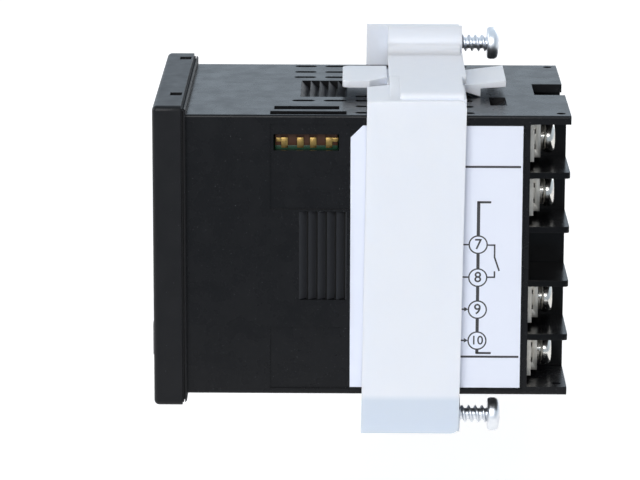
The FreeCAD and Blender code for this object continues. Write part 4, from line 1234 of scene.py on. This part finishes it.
@dataclass
class Front:
    """The lens, the display with its unlit digits, and the four keys.

    A row of digits is its middle below the display's top, and a digit's width and height.
    """

    rows: tuple[Point, ...] = ((8.6 * MM, 5.6 * MM, 10.5 * MM), (19.6 * MM, 4.0 * MM, 7.4 * MM))
    digits: int = 4
    digit_gap: float = 2.2 * MM
    segment_thick: float = 0.16
    key_edge: float = 0.15 * MM
    mark_deep: float = 0.14 * MM
    mark_radius: float = 1.35 * MM
    ring_radius: float = 1.15 * MM
    ring_band: float = 0.2 * MM
    spare: float = 0.05 * MM

    def build(self) -> None:
        """Dress the front and draw its digits and key marks."""
        dress_packed(("display_lens",), Finish.LENS)
        dress_packed(("display_module",), Finish.PANEL)
        low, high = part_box("display_module")
        corner = ((low[0] + high[0]) / 2, low[1], high[2])
        segments = [segment for row in self.rows for segment in self.row(corner, *row)]
        place(join("display_segments", segments), Finish.SEGMENT, "controller")
        self.keys()

    def row(self, top: Point, below: float, wide: float, tall: float) -> list[Piece]:
        """A row of seven-segment digits.

        Args:
            top: Middle of the display's top edge.
            below: How far below it the row's middle lies.
            wide: Width of a digit.
            tall: Height of a digit.

        Returns:
            The segments.
        """
        thick, level = wide * self.segment_thick, top[2] - below
        parts = []
        for number in range(self.digits):
            centre = top[0] + (number - (self.digits - 1) / 2) * (wide + self.digit_gap)
            for up in (-1, 0, 1):
                spot = (centre, top[1], level + up * tall / 2)
                parts.append(self.segment(spot, wide - 2.4 * thick, thick, False))
            for side in (-1, 1):
                for up in (-1, 1):
                    spot = (centre + side * wide / 2, top[1], level + up * tall / 4)
                    parts.append(self.segment(spot, tall / 2 - 1.4 * thick, thick, True))
        return parts

    def segment(self, spot: Point, long: float, thick: float, upright: bool) -> Piece:
        """One six-sided segment of a digit.

        Args:
            spot: Its middle, on the display's face.
            long: Its length.
            thick: Its thickness.
            upright: Whether it stands.

        Returns:
            The segment.
        """
        bpy.ops.mesh.primitive_cylinder_add(vertices=6, radius=thick / 2, depth=0.04 * MM, location=(0, 0, 0))
        piece = bpy.context.object
        for vertex in piece.data.vertices:
            if abs(vertex.co.x) > 1e-6:
                vertex.co.x += math.copysign((long - thick) / 2, vertex.co.x)
        turn = (QUARTER, QUARTER if upright else 0, 0)
        set_down(piece, (spot[0], spot[1] - 0.02 * MM, spot[2]), turn)
        return piece

    def keys(self) -> None:
        """The four keys, with softened edges and plain marks let into their faces."""
        turns = {"set_key": None, "shift_key": QUARTER, "down_key": math.pi, "up_key": 0.0}
        for key, turn in turns.items():
            low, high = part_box(key)
            spot = ((low[0] + high[0]) / 2, low[1], (low[2] + high[2]) / 2)
            cap = packed_copy(key, self.key_edge)
            carve(cap, [self.mark("cutter", turn, spot, self.spare)])
            smooth(cap)
            place(cap, Finish.KEY, key)
            place(self.mark(f"{key}_mark", turn, spot, 0.0), Finish.MARK, key)

    def mark(self, name: str, turn: float | None, spot: Point, spare: float) -> Piece:
        """A ring, or an arrow head that points one way.

        Args:
            name: The piece's name.
            turn: The arrow head's turn from pointing up, or None for a ring.
            spot: Middle of the key's face.
            spare: How far it stands out of the face and past the mark, for a cutter.

        Returns:
            The mark.
        """
        thick = self.mark_deep + 2 * spare
        band = self.ring_band + spare
        if turn is None:
            bpy.ops.mesh.primitive_torus_add(
                major_radius=self.ring_radius, minor_radius=band, major_segments=40, minor_segments=8
            )
            bpy.context.object.scale = (1, 1, thick / (2 * band))
        else:
            radius = self.mark_radius + 2 * spare
            bpy.ops.mesh.primitive_cylinder_add(vertices=3, radius=radius, depth=thick)
        piece = bpy.context.object
        piece.name = name
        deep = spot[1] + 0.01 * MM + self.mark_deep / 2
        set_down(piece, (spot[0], deep, spot[2]), (QUARTER, -(turn or 0), 0))
        return piece


# Studio ---------------------------------------------------------------------------------------


@dataclass
class Studio:
    """The camera, the soft lights, the pale floor and the white surround.

    A lamp is its name, its place, its side and its power.
    """

    lens: float = 195.86
    spot: Point = (0.552347, 0.026364, 0.125525)
    pitch: float = 0.228012
    heading: float = 0.009601
    roll: float = 0.002448
    aim: Point = (0, 0.027, 0)
    lamps: tuple[tuple[str, Point, float, float], ...] = (
        ("key_light", (0.5, -0.1, 0.25), 0.38, 2.2),
        ("fill_light", (-0.7, 0.5, 0.42), 0.7, 2.8),
        ("front_light", (-0.1, -0.85, 0.3), 0.6, 3.0),
    )
    sky: Colour = (0.93, 0.96, 1.0)
    sky_strength: float = 0.35
    gloss: Colour = (0.76, 0.88, 1.0)
    gloss_across: Pair = (0.1, 0.9)
    gloss_strength: Pair = (0.97, 0.56)
    floor_side: float = 6.0
    floor_spot: Point = (-2.84, 0, -0.062)
    floor_grey: Colour = (0.9, 0.9, 0.9)
    glow_grey: Colour = (0.55, 0.55, 0.55)
    floor_glow: float = 0.78

    def build(self) -> None:
        """Set the scene up."""
        bpy.context.scene.view_settings.view_transform = "Standard"
        self.camera()
        self.world()
        self.floor()
        for lamp in self.lamps:
            self.lamp(*lamp)

    def camera(self) -> None:
        """Stand the camera beside the controller, a little above it."""
        data = bpy.data.cameras.new("camera")
        data.lens = self.lens
        data.sensor_width = 36
        data.clip_start = 0.01
        eye = bpy.data.objects.new("camera", data)
        bpy.context.collection.objects.link(eye)
        turn = Euler((QUARTER - self.pitch, 0, QUARTER + self.heading)).to_matrix()
        turn = turn @ Matrix.Rotation(self.roll, 3, "Z")
        eye.matrix_world = Matrix.Translation(self.spot) @ turn.to_4x4()
        bpy.context.scene.camera = eye

    def lamp(self, name: str, spot: Point, size: float, power: float) -> None:
        """Hang a soft square lamp that faces the controller.

        Args:
            name: The lamp's name.
            spot: Its place.
            size: Its side.
            power: Its power, in watts.
        """
        data = bpy.data.lights.new(name, "AREA")
        data.size = size
        data.energy = power
        lamp = bpy.data.objects.new(name, data)
        bpy.context.collection.objects.link(lamp)
        lamp.location = spot
        lamp.rotation_euler = (Vector(self.aim) - Vector(spot)).to_track_quat("-Z", "Y").to_euler()

    def world(self) -> None:
        """Light evenly, show gloss a bluish sky, and the camera plain white, also through glass."""
        world = bpy.data.worlds.new("surround")
        world.use_nodes = True
        bpy.context.scene.world = world
        world.node_tree.nodes.clear()
        tree = Tree(world.node_tree)
        path = tree.node("LightPath").outputs
        shown = tree.glow("Background", self.sky, self.sky_strength)
        strength = tree.remap(tree.along("X"), self.gloss_across, self.gloss_strength)
        gloss = tree.glow("Background", self.gloss, strength)
        white = tree.glow("Background", (1, 1, 1), 1.0)
        seen = tree.math("MAXIMUM", path["Is Camera Ray"], path["Is Transmission Ray"])
        for factor, other in ((path["Is Glossy Ray"], gloss), (seen, white)):
            mix = tree.node("MixShader")
            tree.link(factor, mix.inputs["Fac"])
            tree.link(shown.outputs[0], mix.inputs[1])
            tree.link(other.outputs[0], mix.inputs[2])
            shown = mix
        tree.link(shown.outputs[0], tree.node("OutputWorld").inputs["Surface"])

    def floor(self) -> None:
        """Lay a pale floor that keeps the controller's soft shadow and looks white."""
        bpy.ops.mesh.primitive_plane_add(size=self.floor_side, location=self.floor_spot)
        floor = bpy.context.object
        floor.name = "floor"
        shop = Shop("floor_white")
        shop.shader.inputs["Base Color"].default_value = (*self.floor_grey, 1)
        shop.shader.inputs["Roughness"].default_value = 0.9
        path = shop.node("LightPath").outputs
        shown = shop.math("MAXIMUM", path["Is Camera Ray"], path["Is Glossy Ray"])
        glow = shop.glow("Emission", self.glow_grey, shop.math("MULTIPLY", shown, self.floor_glow))
        both = shop.node("AddShader")
        shop.link(shop.shader.outputs["BSDF"], both.inputs[0])
        shop.link(glow.outputs["Emission"], both.inputs[1])
        shop.link(both.outputs["Shader"], shop.tree.nodes["Material Output"].inputs["Surface"])
        floor.data.materials.append(shop.material)


def main() -> None:
    """Build the scene, piece by piece."""
    logging.basicConfig(level=logging.INFO, format="%(name)s: %(message)s")
    Studio().build()
    Housing().build()
    Inside().build()
    ServicePort().build()
    Terminals().build()
    Adapter().build()
    ClampScrew("clamp_screw_upper", "upper_clamp_screw").build()
    ClampScrew("clamp_screw_lower", "lower_clamp_screw", set_out=-0.25 * MM).build()
    SideLabel().build()
    Front().build()


if __name__ == "__main__":
    main()
